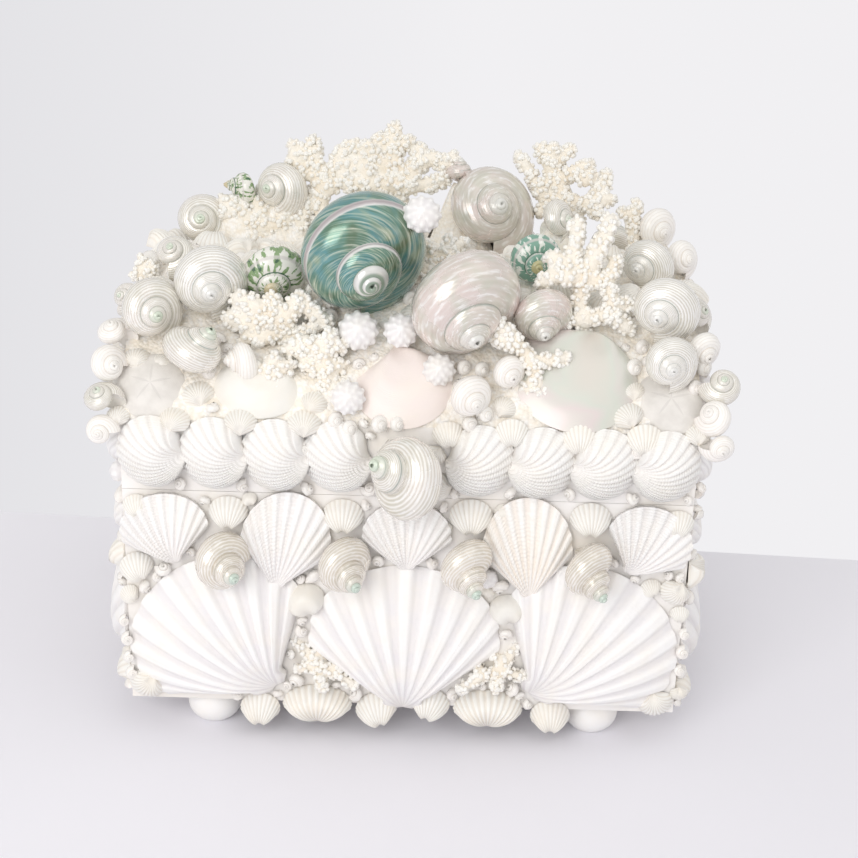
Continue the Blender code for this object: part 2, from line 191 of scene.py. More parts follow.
def chart(name, points):
    """Two places on a face's chart and the height above it, for points in the row frame."""
    x, y, z = points[:, 0], points[:, 1] - middle_y, points[:, 2]
    if name == "arc":
        along = np.arctan2(y, z - arc_centre) * arc_radius
        return x + half_length, along + half_arc, np.hypot(y, z - arc_centre) - arc_radius
    across, out = {"front": (x, -y), "back": (-x, y), "left": (-y, -x), "right": (y, x)}[name]
    if name in ("front", "back"):
        return across + half_length, z - base_bottom, out - half_depth
    return across + half_depth, z - base_bottom, out - half_length


def cover(points):
    """Marks the cells under points that lie close to a face."""
    for name, mask in covered.items():
        first, second, height = chart(name, points)
        near = (height > cover_low) & (height < cover_high)
        if name == "arc":
            near &= points[:, 2] > rim_top + cover_low
        column = (first[near] / cell).astype(int)
        row = (second[near] / cell).astype(int)
        for down in (-1, 0, 1):
            for across in (-1, 0, 1):
                rows, columns = row + down, column + across
                good = (rows >= 0) & (rows < mask.shape[0]) & (columns >= 0) & (columns < mask.shape[1])
                mask[rows[good], columns[good]] = True


# Shapes: each is a grid or several grids of points with texture places and a value per point for painted
# shade and pattern
def grid(points, shade_and_pattern=None, flip=False):
    rows, columns = points.shape[:2]
    index = np.arange(rows * columns).reshape(rows, columns)
    quads = np.stack((index[:-1, :-1], index[:-1, 1:], index[1:, 1:], index[1:, :-1]), -1).reshape(-1, 4)
    u, v = np.meshgrid(np.linspace(0, 1, columns), np.linspace(0, 1, rows))
    shade = np.ones((rows, columns)) if shade_and_pattern is None else shade_and_pattern
    return {
        "points": points.reshape(-1, 3),
        "quads": quads[:, ::-1] if flip else quads,
        "uv": np.stack((u, v), -1).reshape(-1, 2),
        "shade_and_pattern": shade.reshape(-1),
    }


def joined(*shapes):
    """One shape from several."""
    parts = {key: np.concatenate([shape[key] for shape in shapes]) for key in ("points", "uv", "shade_and_pattern")}
    starts = np.cumsum([0] + [len(shape["points"]) for shape in shapes])
    parts["quads"] = np.concatenate([shape["quads"] + start for shape, start in zip(shapes, starts)])
    return parts


def moved(shape, matrix):
    """The shape placed by a matrix, its faces turned over where the matrix mirrors."""
    turn = np.array(matrix.to_3x3())
    made = dict(shape)
    made["points"] = shape["points"] @ turn.T + np.array(matrix.translation)
    if matrix.to_3x3().determinant() < 0:
        made["quads"] = shape["quads"][:, ::-1]
    return made


def smooth_step(low, high, value):
    share = np.clip((value - low) / (high - low), 0, 1)
    return share * share * (3 - 2 * share)


def valve(width, height, depth, ribs, rib_height, columns, rows, spread=104, curl=0.0, skew=0.0,
          full_from=0.34, lip=0.0010, ears=0.0, rib_low=0.10, rib_high=0.60, striae=0.0, wobble=0.0):
    """A valve with its beak at the bottom: ribs fan out from the beak to a scalloped edge."""
    across, out = np.meshgrid(np.linspace(-1, 1, columns), np.linspace(0.0, 1, rows) ** 0.8)
    angle = across * math.radians(spread)
    fan_phase = across + skew * (1 - across**2)
    wave = 0.5 + 0.5 * np.cos(math.pi * max(ribs, 1) * (fan_phase + 1) + math.pi)
    rib = smooth_step(rib_low, rib_high, wave) if ribs else np.ones_like(wave)
    side = 1 - np.abs(across) ** 6
    reach = 1 - (1 - rib) * rib_height * 0.8 / height * smooth_step(0.6, 1, out)
    middle = height / 2
    x = np.sin(angle) * width / 2 * reach * out
    y = -middle + (np.cos(angle) * middle * reach + middle) * out
    if ears:
        near = smooth_step(0.22, 0.10, out) * smooth_step(0.55, 0.95, np.abs(across))
        x = x + np.sign(across) * near * ears * width
        y = y - near * 0.2 * ears * width
    if curl:
        bend = curl * (1 - out) ** 1.5
        dx, dy = x, y + middle
        x = dx * np.cos(bend) - dy * np.sin(bend)
        y = dx * np.sin(bend) + dy * np.cos(bend) - middle
    rise = 1 - (1 - np.clip(out / full_from, 0, 1)) ** 2
    fall = 1 - np.clip((out - full_from) / (1 - full_from), 0, 1) ** 2.3
    waver = wobble * np.cos(out * 21 + across * 3)
    z = lip + (depth - lip) * (rise * fall * side) * (1 + waver)
    strength = rib_height * smooth_step(0.03, 0.5, out) * (0.35 + 0.65 * side)
    z = z + strength * (rib - 0.4)
    if striae:
        z = z + striae * np.cos(math.pi * ribs * 5 * (fan_phase + 1)) * rib * smooth_step(0.3, 0.6, out)
    top = np.stack((x, y, np.maximum(z, lip * 0.4)), -1)
    edge = top[-1:].copy()
    skirt = np.concatenate((edge, edge * np.array([0.985, 0.985, 0.3]), edge * np.array([0.9, 0.9, 0.0])))
    # Painted shade: the value per point is lowest in the grooves, near the beak and on the rim's underside,
    # where the white shell materials paint the groove colour
    return joined(grid(top, rib * 0.75 + 0.25 * out, True), grid(skirt, np.full((3, columns), 0.4), True))


def turban(growth=1.85, turns=4.2, tube=1.12, rise=2.1, per_turn=36, around=26, cords=0, cord_height=0.0):
    """A coiled shell of unit outer coil, its spire up +Z and its mouth at +X, facing -Y."""
    t = np.linspace(0, turns, int(per_turn * turns) + 1)
    phi = np.linspace(-math.pi, math.pi, around + 1)
    phis, sizes = np.meshgrid(phi, growth**-t)
    _, angles = np.meshgrid(phi, 2 * math.pi * t)
    section = 1 + cord_height * np.cos(phis * cords)
    radial = sizes * (1 + tube * section * np.cos(phis))
    height = rise * (1 - sizes) + sizes * tube * section * np.sin(phis)
    points = about_axis(radial, angles, height)
    body = grid(points, smooth_step(0, 2.2, np.repeat(t[:, None], around + 1, 1)))
    body["uv"] = np.stack((np.repeat(t, around + 1), np.tile((phi + math.pi) / (2 * math.pi), len(t))), -1)
    rim = points[0]
    centre = rim.mean(0)
    mouth_steps = ((1.0, 0.0), (0.86, 0.10), (0.6, 0.30), (0.0, 0.42))
    inside = [centre + (rim - centre) * scale + np.array([0, depth, 0]) for scale, depth in mouth_steps]
    mouth = grid(np.stack(inside), np.full((4, around + 1), 0.0), True)
    mouth["uv"][:] = 0.0
    shape = joined(body, mouth)
    low, high = shape["points"].min(0), shape["points"].max(0)
    shape["points"] = (shape["points"] - (low + high) / 2) / ((high[0] - low[0]) / 2)
    return shape


def about_axis(radius, azimuth, height):
    """Points about +Z, from grids of their radius, azimuth and height."""
    return np.stack((radius * np.cos(azimuth), radius * np.sin(azimuth), height), -1)


def round_grid(columns, low, high, rows):
    """Azimuths and levels of a round shape, as two grids."""
    return np.meshgrid(np.linspace(0, 2 * math.pi, columns + 1), np.linspace(low, high, rows))


def knob_shell(rows=26, columns=60, spikes=(11, 10, 7), spike_height=0.16):
    """A round shell with spiral rows of blunt spikes, its tip up +Z, of unit radius."""
    azimuth, rising = round_grid(columns, -0.9, math.pi / 2, rows)
    radius = np.ones_like(azimuth)
    for row, count in enumerate(spikes):
        level = (0.05, 0.52, 0.98)[row] + 0.16 * azimuth / (2 * math.pi)
        wave = (0.5 + 0.5 * np.cos(count * (azimuth + row * 0.35))) ** 1.3
        radius = radius + spike_height * (1 - 0.25 * row) * wave * np.exp(-((rising - level) ** 2) / 0.036)
    radius = radius + 0.12 * np.exp(-((rising - 1.5) ** 2) / 0.03)
    points = about_axis(np.cos(rising) * radius, azimuth, np.sin(rising) * radius * 0.85)
    # Painted shade: low between the spikes, so the material paints the hollows darker
    return grid(points, 0.15 + 0.85 * smooth_step(0.98, 1.12, radius))


def spindle(rows=12, columns=12):
    """A small pointed shell lying along +Y with a few whorls, half a unit wide and one long."""
    azimuth, along = round_grid(columns, 0, 1, rows)
    whorl = np.abs(np.sin(math.pi * (along * 3.2 + azimuth / (2 * math.pi))))
    radius = 0.27 * np.sin(math.pi * np.clip(along, 0, 1) ** 0.75) ** 0.8 * (1 + 0.13 * whorl)
    points = np.stack((radius * np.cos(azimuth), along - 0.5, radius * np.sin(azimuth) + 0.22), -1)
    return grid(points, whorl)


def disc(rows=14, columns=48):
    """A slightly domed round plate of unit radius and thickness 0.25."""
    azimuth, out = round_grid(columns, 0, 1, rows)
    reach = out * (1 + 0.012 * np.cos(azimuth * 5 + 0.7))
    z = 0.30 * (1 - out**2.2) + 0.05 - 0.05 * smooth_step(0.9, 1, out)
    top = about_axis(reach, azimuth, z)
    edge = top[-1:]
    skirt = np.concatenate((edge, edge * np.array([1.0, 1.0, 0.0]), edge * 0))
    return joined(grid(top, 1 - out), grid(skirt))


# Pieces and their materials
materials = {}


def finish_piece(name, mesh, shade_and_pattern, kind, nodes):
    """Adds a piece with its values for painted shade and pattern and its material, on the box, and hides the
    nodes that it replaces.
    """
    mesh.attributes.new("shade_and_pattern", "FLOAT", "POINT").data.foreach_set("value", shade_and_pattern.astype(np.float32))
    mesh.shade_smooth()
    mesh.materials.append(materials[kind])
    made = linked(name, mesh)
    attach(made, "root")
    if nodes:
        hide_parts(*nodes)


class Batch:
    """Shapes that become one piece of the scene."""

    def __init__(self, name, kind):
        self.name = name
        self.kind = kind
        self.shapes = []

    def add(self, shape, matrix):
        self.shapes.append(moved(shape, matrix))
        cover(self.shapes[-1]["points"])

    def make(self, *nodes):
        whole = joined(*self.shapes)
        mesh = bpy.data.meshes.new(self.name)
        mesh.from_pydata(whole["points"].tolist(), [], whole["quads"].tolist())
        corners = np.zeros(len(mesh.loops), np.int32)
        mesh.loops.foreach_get("vertex_index", corners)
        layer = mesh.uv_layers.new(name="shell")
        layer.data.foreach_set("uv", whole["uv"][corners].astype(np.float32).reshape(-1))
        finish_piece(self.name, mesh, whole["shade_and_pattern"], self.kind, nodes)


def one_piece(name, kind, shape, matrix, *nodes):
    batch = Batch(name, kind)
    batch.add(shape, matrix)
    batch.make(*nodes)


black = (0, 0, 0)
white = (1, 1, 1)


class Tree:
    """Short ways to add shader nodes."""

    def __init__(self, tree):
        self.tree = tree

    def node(self, kind, fed=None, **values):
        """A node with its settings, and its sockets fed by name or number."""
        made = self.tree.nodes.new(kind)
        for key, value in values.items():
            setattr(made, key, value)
        for socket, value in (fed or {}).items():
            self.feed(made.inputs[socket], value)
        return made

    def feed(self, socket, value):
        """Sets a socket to a number or a colour, or wires another socket to it."""
        if isinstance(value, (int, float)):
            socket.default_value = value
        elif isinstance(value, tuple):
            socket.default_value = (*value, 1)
        else:
            self.tree.links.new(value, socket)

    def math(self, operation, *values):
        return self.node("ShaderNodeMath", dict(enumerate(values)), operation=operation).outputs[0]

    def times(self, first, second):
        return self.math("MULTIPLY", first, second)

    def plus(self, first, second):
        return self.math("ADD", first, second)

    def shade_and_pattern(self):
        return self.node("ShaderNodeAttribute", attribute_name="shade_and_pattern").outputs["Fac"]

    def place(self):
        return self.node("ShaderNodeTexCoord").outputs["Object"]

    def split(self, vector):
        return self.node("ShaderNodeSeparateXYZ", {0: vector}).outputs

    def uv(self):
        return self.split(self.node("ShaderNodeUVMap", uv_map="shell").outputs[0])[:2]

    def noise(self, scale, detail=3.0, vector=None, distortion=0.0):
        fed = {"Scale": scale, "Detail": detail, "Distortion": distortion, "Vector": vector or self.place()}
        return self.node("ShaderNodeTexNoise", fed).outputs["Fac"]

    def voronoi(self, scale):
        return self.node("ShaderNodeTexVoronoi", {"Scale": scale, "Vector": self.place()}).outputs["Distance"]

    def ramp(self, value, *stops):
        made = self.node("ShaderNodeValToRGB", {0: value})
        elements = made.color_ramp.elements
        while len(elements) < len(stops):
            elements.new(0.5)
        for element, (place, colour) in zip(elements, stops):
            element.position = place
            element.color = (*colour, 1)
        return made.outputs[0]

    def step(self, value, low, high):
        """From black at low to white at high."""
        return self.ramp(value, (low, black), (high, white))

    def band(self, value, *places):
        """White between the middle two of four places, and black beyond the outer two."""
        return self.ramp(value, *zip(places, (black, white, white, black)))

    def whorl(self, turn, low, high):
        """From black at one turn of the coil to white at another, both divided by five."""
        return self.step(self.times(turn, 0.2), low, high)

    def mix(self, share, first, second):
        return self.node("ShaderNodeMix", {0: share, 6: first, 7: second}, data_type="RGBA").outputs[2]

    def pair(self, x, x_scale, y, y_scale):
        """A texture place from two values, each with its scale."""
        fed = {0: self.times(x, x_scale), 1: self.times(y, y_scale)}
        return self.node("ShaderNodeCombineXYZ", fed).outputs[0]


class Nodes(Tree):
    """The shader nodes of one material."""

    def __init__(self, name, slot, colour, roughness, metallic=0.0, coat=0.0):
        self.material = bpy.data.materials.new(name)
        self.material.use_nodes = True
        super().__init__(self.material.node_tree)
        self.shader = self.tree.nodes["Principled BSDF"]
        values = {"Base Color": (*colour, 1), "Roughness": roughness, "Metallic": metallic,
                  "Coat Weight": coat, "Coat Roughness": 0.12}
        for socket, value in values.items():
            self.shader.inputs[socket].default_value = value
        materials[name] = self.material

    def colour(self, value):
        self.feed(self.shader.inputs["Base Color"], value)

    def roughness(self, value, low, high):
        made = self.node("ShaderNodeMapRange", {"To Min": low, "To Max": high, "Value": value})
        self.feed(self.shader.inputs["Roughness"], made.outputs[0])

    def bump(self, height, strength, distance):
        made = self.node("ShaderNodeBump", {"Strength": strength, "Distance": distance, "Height": height})
        self.feed(self.shader.inputs["Normal"], made.outputs[0])


def make_wood():
    m = Nodes("painted_wood", "painted_wood", (0.88, 0.87, 0.86), 0.55)
    stretch = m.node("ShaderNodeMapping", {"Vector": m.place()})
    stretch.inputs["Scale"].default_value = (0.05, 1.0, 1.0)
    brush = m.noise(420, 4, stretch.outputs[0])
    tone = m.ramp(m.noise(28, 3), (0.35, (0.90, 0.86, 0.80)), (0.62, (0.95, 0.93, 0.91)))
    m.colour(m.mix(m.times(brush, 0.2), tone, (0.84, 0.81, 0.79)))
    m.roughness(brush, 0.45, 0.65)
    m.bump(brush, 0.25, 0.0004)


def make_white(name, slot, crest, groove_shade, warm, roughness=0.42, beads=0.0):
    """White shell: colour by how far up a rib a point is, with painted shade in the grooves and near the
    beak, warm stains and fine growth lines.
    """
    m = Nodes(name, slot, crest, roughness)
    across, out = m.uv()
    # Painted shade: the groove colour where the value per point is low, the crest colour where it is high
    ribs_with_groove_shade = m.mix(m.math("POWER", m.shade_and_pattern(), 0.7), groove_shade, crest)
    stain = m.step(m.noise(60, 4), 0.42, 0.72)
    m.colour(m.mix(m.times(stain, 0.55), ribs_with_groove_shade, warm))
    lines = m.noise(70, 2, m.pair(across, 0.10, out, 1.0))
    m.roughness(lines, roughness - 0.08, roughness + 0.12)
    relief = m.plus(lines, m.times(m.noise(900, 2), 0.4))
    if beads:
        beaded = m.ramp(across, (0.42, white), (0.60, (0.25, 0.25, 0.25)))
        ring = m.times(m.math("SINE", m.times(out, 150.0)), beaded)
        relief = m.plus(relief, m.times(ring, beads))
    m.bump(relief, 0.35 + 0.2 * (beads > 0), 0.0004)


def make_nacre(name, slot, body, pearl, line, lines, line_share, suture_shade=(0.36, 0.40, 0.35), tip=None,
               metallic=0.25, roughness=0.22, groove_shade=(0.50, 0.50, 0.44)):
    """Polished mother of pearl: lines along the coil with painted shade in thin grooves between them, a dark
    line of painted shade along the suture, painted sheen streaks, and a tip of another colour.
    """
    m = Nodes(name, slot, body, roughness, metallic, 0.6)
    turn, around = m.uv()
    waver = m.noise(1.0, 2, m.pair(turn, 2.0, around, 6.0))
    cloud = m.noise(55, 4, distortion=0.6)
    base = m.mix(m.step(cloud, 0.38, 0.62), body, pearl)
    # Painted sheen: near-white streaks along the coil
    shine = m.noise(1.0, 3, m.pair(turn, 16.0, around, 46.0))
    base = m.mix(m.ramp(shine, (0.52, black), (0.66, (0.7, 0.7, 0.7))), base, (0.97, 0.96, 0.95))
    wave = m.math("SINE", m.plus(m.times(around, lines * 2 * math.pi), m.times(waver, 1.2)))
    wave_half = m.plus(m.times(wave, 0.5), 0.5)
    base = m.mix(m.times(m.step(wave_half, 0.55, 0.90), line_share), base, line)
    # Painted shade: a thin dark line in the groove between the light lines
    thin_groove_shade = m.ramp(wave_half, (0.04, white), (0.22, black))
    base = m.mix(m.times(thin_groove_shade, line_share * 0.55), base, groove_shade)
    # Painted shade: a dark line along the suture between the whorls
    suture_shade_band = m.band(around, 0.526, 0.538, 0.552, 0.568)
    base = m.mix(m.times(m.times(suture_shade_band, m.whorl(turn, 0.17, 0.22)), 0.8), base, suture_shade)
    if tip:
        base = m.mix(m.times(m.whorl(turn, 0.46, 0.60), 0.75), base, tip)
    m.colour(base)
    m.roughness(cloud, roughness - 0.06, roughness + 0.14)
    m.bump(m.plus(m.times(wave, 0.5), m.times(shine, 0.6)), 0.30, 0.0003)


def make_green():
    m = Nodes("green_nacre", "green_nacre", (0.10, 0.34, 0.36), 0.20, 0.35, 0.8)
    turn, around = m.uv()
    oblique = m.plus(m.times(turn, 40.0), m.times(around, 52.0))
    streaks = m.noise(1.6, 5, m.pair(oblique, 1.0, around, 7.0), 0.3)
    cloud = m.noise(34, 3, distortion=0.8)
    teal = m.ramp(cloud, (0.32, (0.13, 0.18, 0.10)), (0.45, (0.14, 0.27, 0.20)),
                  (0.56, (0.11, 0.29, 0.30)), (0.70, (0.33, 0.40, 0.26)))
    base = m.mix(m.times(m.step(streaks, 0.48, 0.68), 0.7), teal, (0.66, 0.70, 0.57))
    dark = m.ramp(streaks, (0.30, white), (0.44, black))
    base = m.mix(m.times(dark, 0.6), base, (0.06, 0.13, 0.06))
    # Partly painted shade: the grey band is darkest at the suture between the whorls; its paler grey on
    # either side is the shell's own band
    band = m.band(around, 0.522, 0.528, 0.556, 0.564)
    grey = m.ramp(around, (0.524, (0.62, 0.58, 0.57)), (0.538, (0.44, 0.39, 0.40)),
                  (0.550, (0.60, 0.56, 0.56)), (0.558, (0.86, 0.86, 0.84)))
    base = m.mix(band, base, grey)
    wide_band = m.band(around, 0.515, 0.525, 0.580, 0.592)
    wide_grey = m.ramp(around, (0.522, (0.34, 0.33, 0.33)), (0.540, (0.74, 0.72, 0.70)),
                       (0.556, (0.40, 0.38, 0.38)), (0.572, (0.78, 0.77, 0.75)))
    base = m.mix(m.times(m.whorl(turn, 0.17, 0.22), wide_band), base, wide_grey)
    ring = m.ramp(around, (0.545, (0.16, 0.26, 0.18)), (0.565, (0.70, 0.70, 0.68)),
                  (0.66, (0.80, 0.80, 0.77)), (0.70, (0.30, 0.38, 0.30)))
    m.colour(m.mix(m.whorl(turn, 0.42, 0.45), base, ring))
    m.roughness(streaks, 0.12, 0.34)
    dots = m.math("SINE", m.times(turn, 150.0))
    m.bump(m.plus(streaks, m.times(dots, 0.05)), 0.30, 0.0004)


def make_mottled(name, ground, patch, dark, tip, amount):
    m = Nodes(name, "mottled_shell", ground, 0.25, 0.0, 0.6)
    turn, around = m.uv()
    blotch = m.noise(1.0, 3, m.pair(turn, 25.0, around, 7.0), 0.2)
    base = m.mix(m.step(blotch, amount, amount + 0.04), ground, patch)
    base = m.mix(m.step(blotch, amount + 0.11, amount + 0.14), base, dark)
    # Painted shade: a dark line along the suture between the whorls; the grey band after it is the shell's
    # own colour
    suture_shade_band = m.band(around, 0.522, 0.532, 0.556, 0.568)
    base = m.mix(m.times(suture_shade_band, m.whorl(turn, 0.17, 0.22)), base, (0.06, 0.13, 0.08))
    grey = m.band(around, 0.566, 0.576, 0.600, 0.612)
    base = m.mix(m.times(grey, 0.7), base, (0.66, 0.62, 0.60))
    m.colour(m.mix(m.whorl(turn, 0.46, 0.50), base, tip))
    m.bump(blotch, 0.1, 0.0003)


def make_coral():
    m = Nodes("coral", "coral", (0.90, 0.86, 0.76), 0.75)
    # Painted shade: warm and darker where the value per point is low, towards the core and the middle of the
    # coral, white at the nub tips
    tone = m.ramp(m.shade_and_pattern(), (0.0, (0.88, 0.77, 0.62)), (0.30, (0.92, 0.86, 0.76)),
                  (0.60, (0.95, 0.92, 0.86)), (1.0, (0.965, 0.955, 0.92)))
    grains = m.voronoi(620)
    # Painted shade: a warmer colour in the crevices between the grains
    m.colour(m.mix(m.times(m.step(grains, 0.30, 0.85), 0.15), tone, (0.93, 0.86, 0.74)))
    m.bump(m.times(m.plus(grains, m.times(m.voronoi(1500), 0.3)), -1.0), 0.45, 0.0009)


def make_grit():
    """Crushed shell and coral between the shells of the pile."""
    m = Nodes("shell_grit", "coral", (0.88, 0.82, 0.72), 0.7)
    grains = m.voronoi(430)
    tone = m.ramp(m.noise(160, 3), (0.35, (0.93, 0.87, 0.77)), (0.50, (0.97, 0.93, 0.86)),
                  (0.62, (0.99, 0.97, 0.94)))
    # Painted shade: a darker, warmer colour in the crevices between the grains
    m.colour(m.mix(m.ramp(grains, (0.40, black), (0.85, (0.4, 0.4, 0.4))), tone, (0.88, 0.78, 0.64)))
    m.bump(m.times(grains, -1.0), 0.6, 0.0014)


def make_sand_dollar():
    m = Nodes("sand_dollar", "sand_dollar", (0.78, 0.77, 0.75), 0.8)
    turn = m.uv()[0]
    petal = m.math("ABSOLUTE", m.math("SINE", m.times(turn, math.pi * 5)))
    width = m.math("SUBTRACT", 0.62, m.math("SUBTRACT", 1.0, m.shade_and_pattern()))
    inside = m.step(m.math("SUBTRACT", width, petal), 0.0, 0.05)
    disc_tone = m.ramp(m.noise(90, 3), (0.4, (0.74, 0.71, 0.67)), (0.6, (0.82, 0.79, 0.75)))
    m.colour(m.mix(m.times(inside, 0.4), disc_tone, (0.64, 0.61, 0.58)))
    m.bump(m.plus(inside, m.noise(1500, 2)), 0.3, 0.0004)


def make_pearl():
    m = Nodes("pearl_valve", "cream_nacre", (0.86, 0.86, 0.82), 0.34, 0.15, 0.3)
    m.colour(m.ramp(m.noise(24, 2, distortion=0.5), (0.28, (0.73, 0.68, 0.62)), (0.44, (0.68, 0.70, 0.63)),
                    (0.58, (0.75, 0.67, 0.65)), (0.74, (0.73, 0.71, 0.65))))
    m.bump(m.noise(90, 3), 0.12, 0.0006)


# White shells: slot, crest, painted groove shade and stain, and for some their roughness and how beaded the
# ribs are
white_kinds = {
    "white_shell": ("white_shell", (0.95, 0.94, 0.93), (0.79, 0.76, 0.77), (0.94, 0.89, 0.82)),
    "beaded_shell": ("white_shell", (0.96, 0.95, 0.93), (0.82, 0.78, 0.75), (0.95, 0.91, 0.84), 0.42, 1.3),
    "scaled_shell": ("white_shell", (0.96, 0.95, 0.94), (0.85, 0.81, 0.79), (0.95, 0.91, 0.85), 0.42, 0.8),
    "cockle": ("white_shell", (0.95, 0.94, 0.90), (0.78, 0.71, 0.62), (0.94, 0.87, 0.76)),
    "peach_scallop": ("white_shell", (0.96, 0.94, 0.91), (0.88, 0.80, 0.72), (0.95, 0.89, 0.80), 0.42, 0.8),
    "pink_clam": ("pink_clam", (0.90, 0.81, 0.77), (0.86, 0.75, 0.69), (0.92, 0.85, 0.76), 0.3),
    "pale_clam": ("white_shell", (0.87, 0.85, 0.80), (0.78, 0.75, 0.69), (0.89, 0.83, 0.73), 0.35),
}


def make_materials():
    make_wood()
    for name, look in white_kinds.items():
        make_white(name, *look)
    make_nacre("silver_nacre", "cream_nacre", (0.74, 0.70, 0.61), (0.82, 0.76, 0.70), (0.95, 0.95, 0.92),
               34, 0.75, tip=(0.66, 0.76, 0.62))
    make_nacre("rose_nacre", "cream_nacre", (0.64, 0.62, 0.54), (0.75, 0.65, 0.61), (0.84, 0.85, 0.82),
               30, 0.14, tip=(0.86, 0.86, 0.83))
    make_nacre("corded_nacre", "cream_nacre", (0.76, 0.72, 0.64), (0.83, 0.79, 0.73), (0.97, 0.97, 0.95),
               40, 0.95, tip=(0.88, 0.88, 0.86))
    make_nacre("front_nacre", "cream_nacre", (0.70, 0.64, 0.54), (0.80, 0.74, 0.65), (0.95, 0.94, 0.92),
               30, 0.60, tip=(0.56, 0.70, 0.62), suture_shade=(0.52, 0.48, 0.40), groove_shade=(0.56, 0.50, 0.42))
    make_nacre("cream_snail", "white_shell", (0.95, 0.92, 0.87), (0.93, 0.88, 0.83), (0.97, 0.96, 0.94),
               20, 0.4, metallic=0.0, roughness=0.35, suture_shade=(0.72, 0.64, 0.54))
    make_green()
    make_mottled("mottled_shell", (0.84, 0.83, 0.77), (0.24, 0.36, 0.17), (0.05, 0.12, 0.06),
                 (0.62, 0.54, 0.36), 0.51)
    make_mottled("teal_shell", (0.20, 0.38, 0.30), (0.80, 0.84, 0.78), (0.92, 0.93, 0.90),
                 (0.55, 0.52, 0.28), 0.53)
    make_coral()
    make_grit()
    make_sand_dollar()
    make_pearl()


make_materials()


# Placing turbans: outline centre and radius and tip as pixels of the photograph
def spire_turn(direction, aperture):
    """A turn that points +Z along direction, with the mouth side +X towards aperture."""
    z = Vector(direction).normalized()
    x = Vector(aperture)
    x = (x - z * x.dot(z)).normalized()
    return turn_to(x, z.cross(x), z)


heaps = []
fit_rounds = 14
most_lean = 0.96


def photo_turban(batch, shape, px, py, radius_px, tip_x, tip_y, lift, centre=None):
    """A turban seen by the camera with that middle, mean radius and tip, all in pixels."""
    place = centre or at_photo(px, py, lift)
    down = -(under(place).to_3x3() @ Vector((0, 0, 1)))
    axes = np.array((right, up, forward))
    points = shape["points"]
    top = int(points[:, 2].argmax())
    wanted = Vector(((tip_x - px) / radius_px, (py - tip_y) / radius_px))
    lean = wanted * 0.9
    for _ in range(fit_rounds):
        lean *= min(1, most_lean / max(lean.length, 1e-6))
        towards = -ray(px, py).normalized() * (1 - lean.length_squared) ** 0.5
        turn = spire_turn(towards + right * lean.x + up * lean.y, down)
        seen = points @ np.array(turn.to_3x3()).T @ axes.T
        low, high = seen.min(0), seen.max(0)
        middle, half = (low + high) / 2, (high - low)[:2].sum() / 4
        lean += (wanted - Vector((seen[top] - middle)[:2] / half)) * 0.6
    size = metres(radius_px, place) / half
    if centre is None:
        heaps.append((place, metres(radius_px, place)))
    batch.add(shape, Matrix.Translation(place - Vector(middle @ axes) * size) @ turn @ Matrix.Scale(size, 4))


def turban_piece(name, kind, shape, seen, lift, *nodes):
    """A piece that is one turban, at the middle of its node or where the photograph shows it."""
    batch = Batch(name, kind)
    photo_turban(batch, shape, *seen, lift, node_centre(nodes[0]) if nodes else None)
    batch.make(*nodes)


def node_centre(node):
    low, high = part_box(node)
    return (low + high) / 2


def front_frame(node):
    """The frame on the front behind the middle of a node."""
    middle = node_centre(node)
    return wall_frame("front", middle.x, middle.z)


def spaced(start, end, count):
    """The middles of equal steps from start to end."""
    return [start + (end - start) * (index + 0.5) / count for index in range(count)]


def wall_row(name, kind, shape, face, node, count, turn=Matrix()):
    """A piece that is a row of one shape on a wall, along the box of its node."""
    low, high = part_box(node)
    start, end = (low.x, high.x) if face in ("front", "back") else (low.y - middle_y, high.y - middle_y)
    batch = Batch(name, kind)
    for across in spaced(start, end, count):
        if face in ("back", "left"):
            across = -across
        batch.add(shape, wall_frame(face, across, (low.z + high.z) / 2) @ turn)
    batch.make(node)


# Big scallops of the base
big = valve(0.1150, 0.0985, 0.0175, 11, 0.0022, 155, 34, ears=0.05, striae=0.00016, lip=0.0016, rib_high=0.75)
big_plain = valve(0.1092, 0.0965, 0.0175, 11, 0.0024, 89, 22, ears=0.05, lip=0.0016)
big_side = valve(0.1142, 0.0965, 0.0175, 11, 0.0024, 89, 22, ears=0.05, lip=0.0016)
scallop_mid = base_bottom + 0.04825
row_gap = 0.0006
for face, shape in (("front", big), ("back", big_plain)):
    for where, step, turn in (("left", -1, 42), ("middle", 0, 0), ("right", 1, -42)):
        node = f"{face}_scallop_{where}"
        place = wall_frame(face, step * 2 * half_length / 3, scallop_mid) @ spun(turn)
        one_piece(node + "_shell", "white_shell", shape, place, node)
for face in ("left", "right"):
    for where, step in (("near", -1), ("far", 1)):
        node = f"{face}_scallop_{where}"
        place = wall_frame(face, step * half_depth / 2, scallop_mid)
        one_piece(node + "_shell", "white_shell", big_side, place, node)

# Medium scallops: turn, stretch and material of each on the front, and rows on the other walls
front_medium = ((15, 1.14, "scaled_shell"), (-11, 1.26, "scaled_shell"), (0, 1.12, "scaled_shell"),
                (4, 1.30, "peach_scallop"), (-30, 1.16, "scaled_shell"))
for index, (turn, stretch, kind) in enumerate(front_medium, 1):
    node = f"front_upper_scallop_{index}"
    low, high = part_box(node)
    tall = (high.z - low.z) * stretch
    shape = valve(0.0525, tall, 0.0120, 12, 0.0014, 121, 24, ears=0.04, lip=0.0040, rib_high=0.75)
    one_piece(node + "_shell", kind, shape, front_frame(node) @ spun(turn), node)
for face, count in (("back", 6), ("left", 4), ("right", 4)):
    node = f"{face}_upper_scallops"
    low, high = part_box(node)
    length = (high.x - low.x) if face == "back" else (high.y - low.y)
    shape = valve(length / count - row_gap, high.z - low.z, 0.0095, 12, 0.0013, 61, 14, lip=0.0012)
    wall_row(node + "_shells", "white_shell", shape, face, node, count)

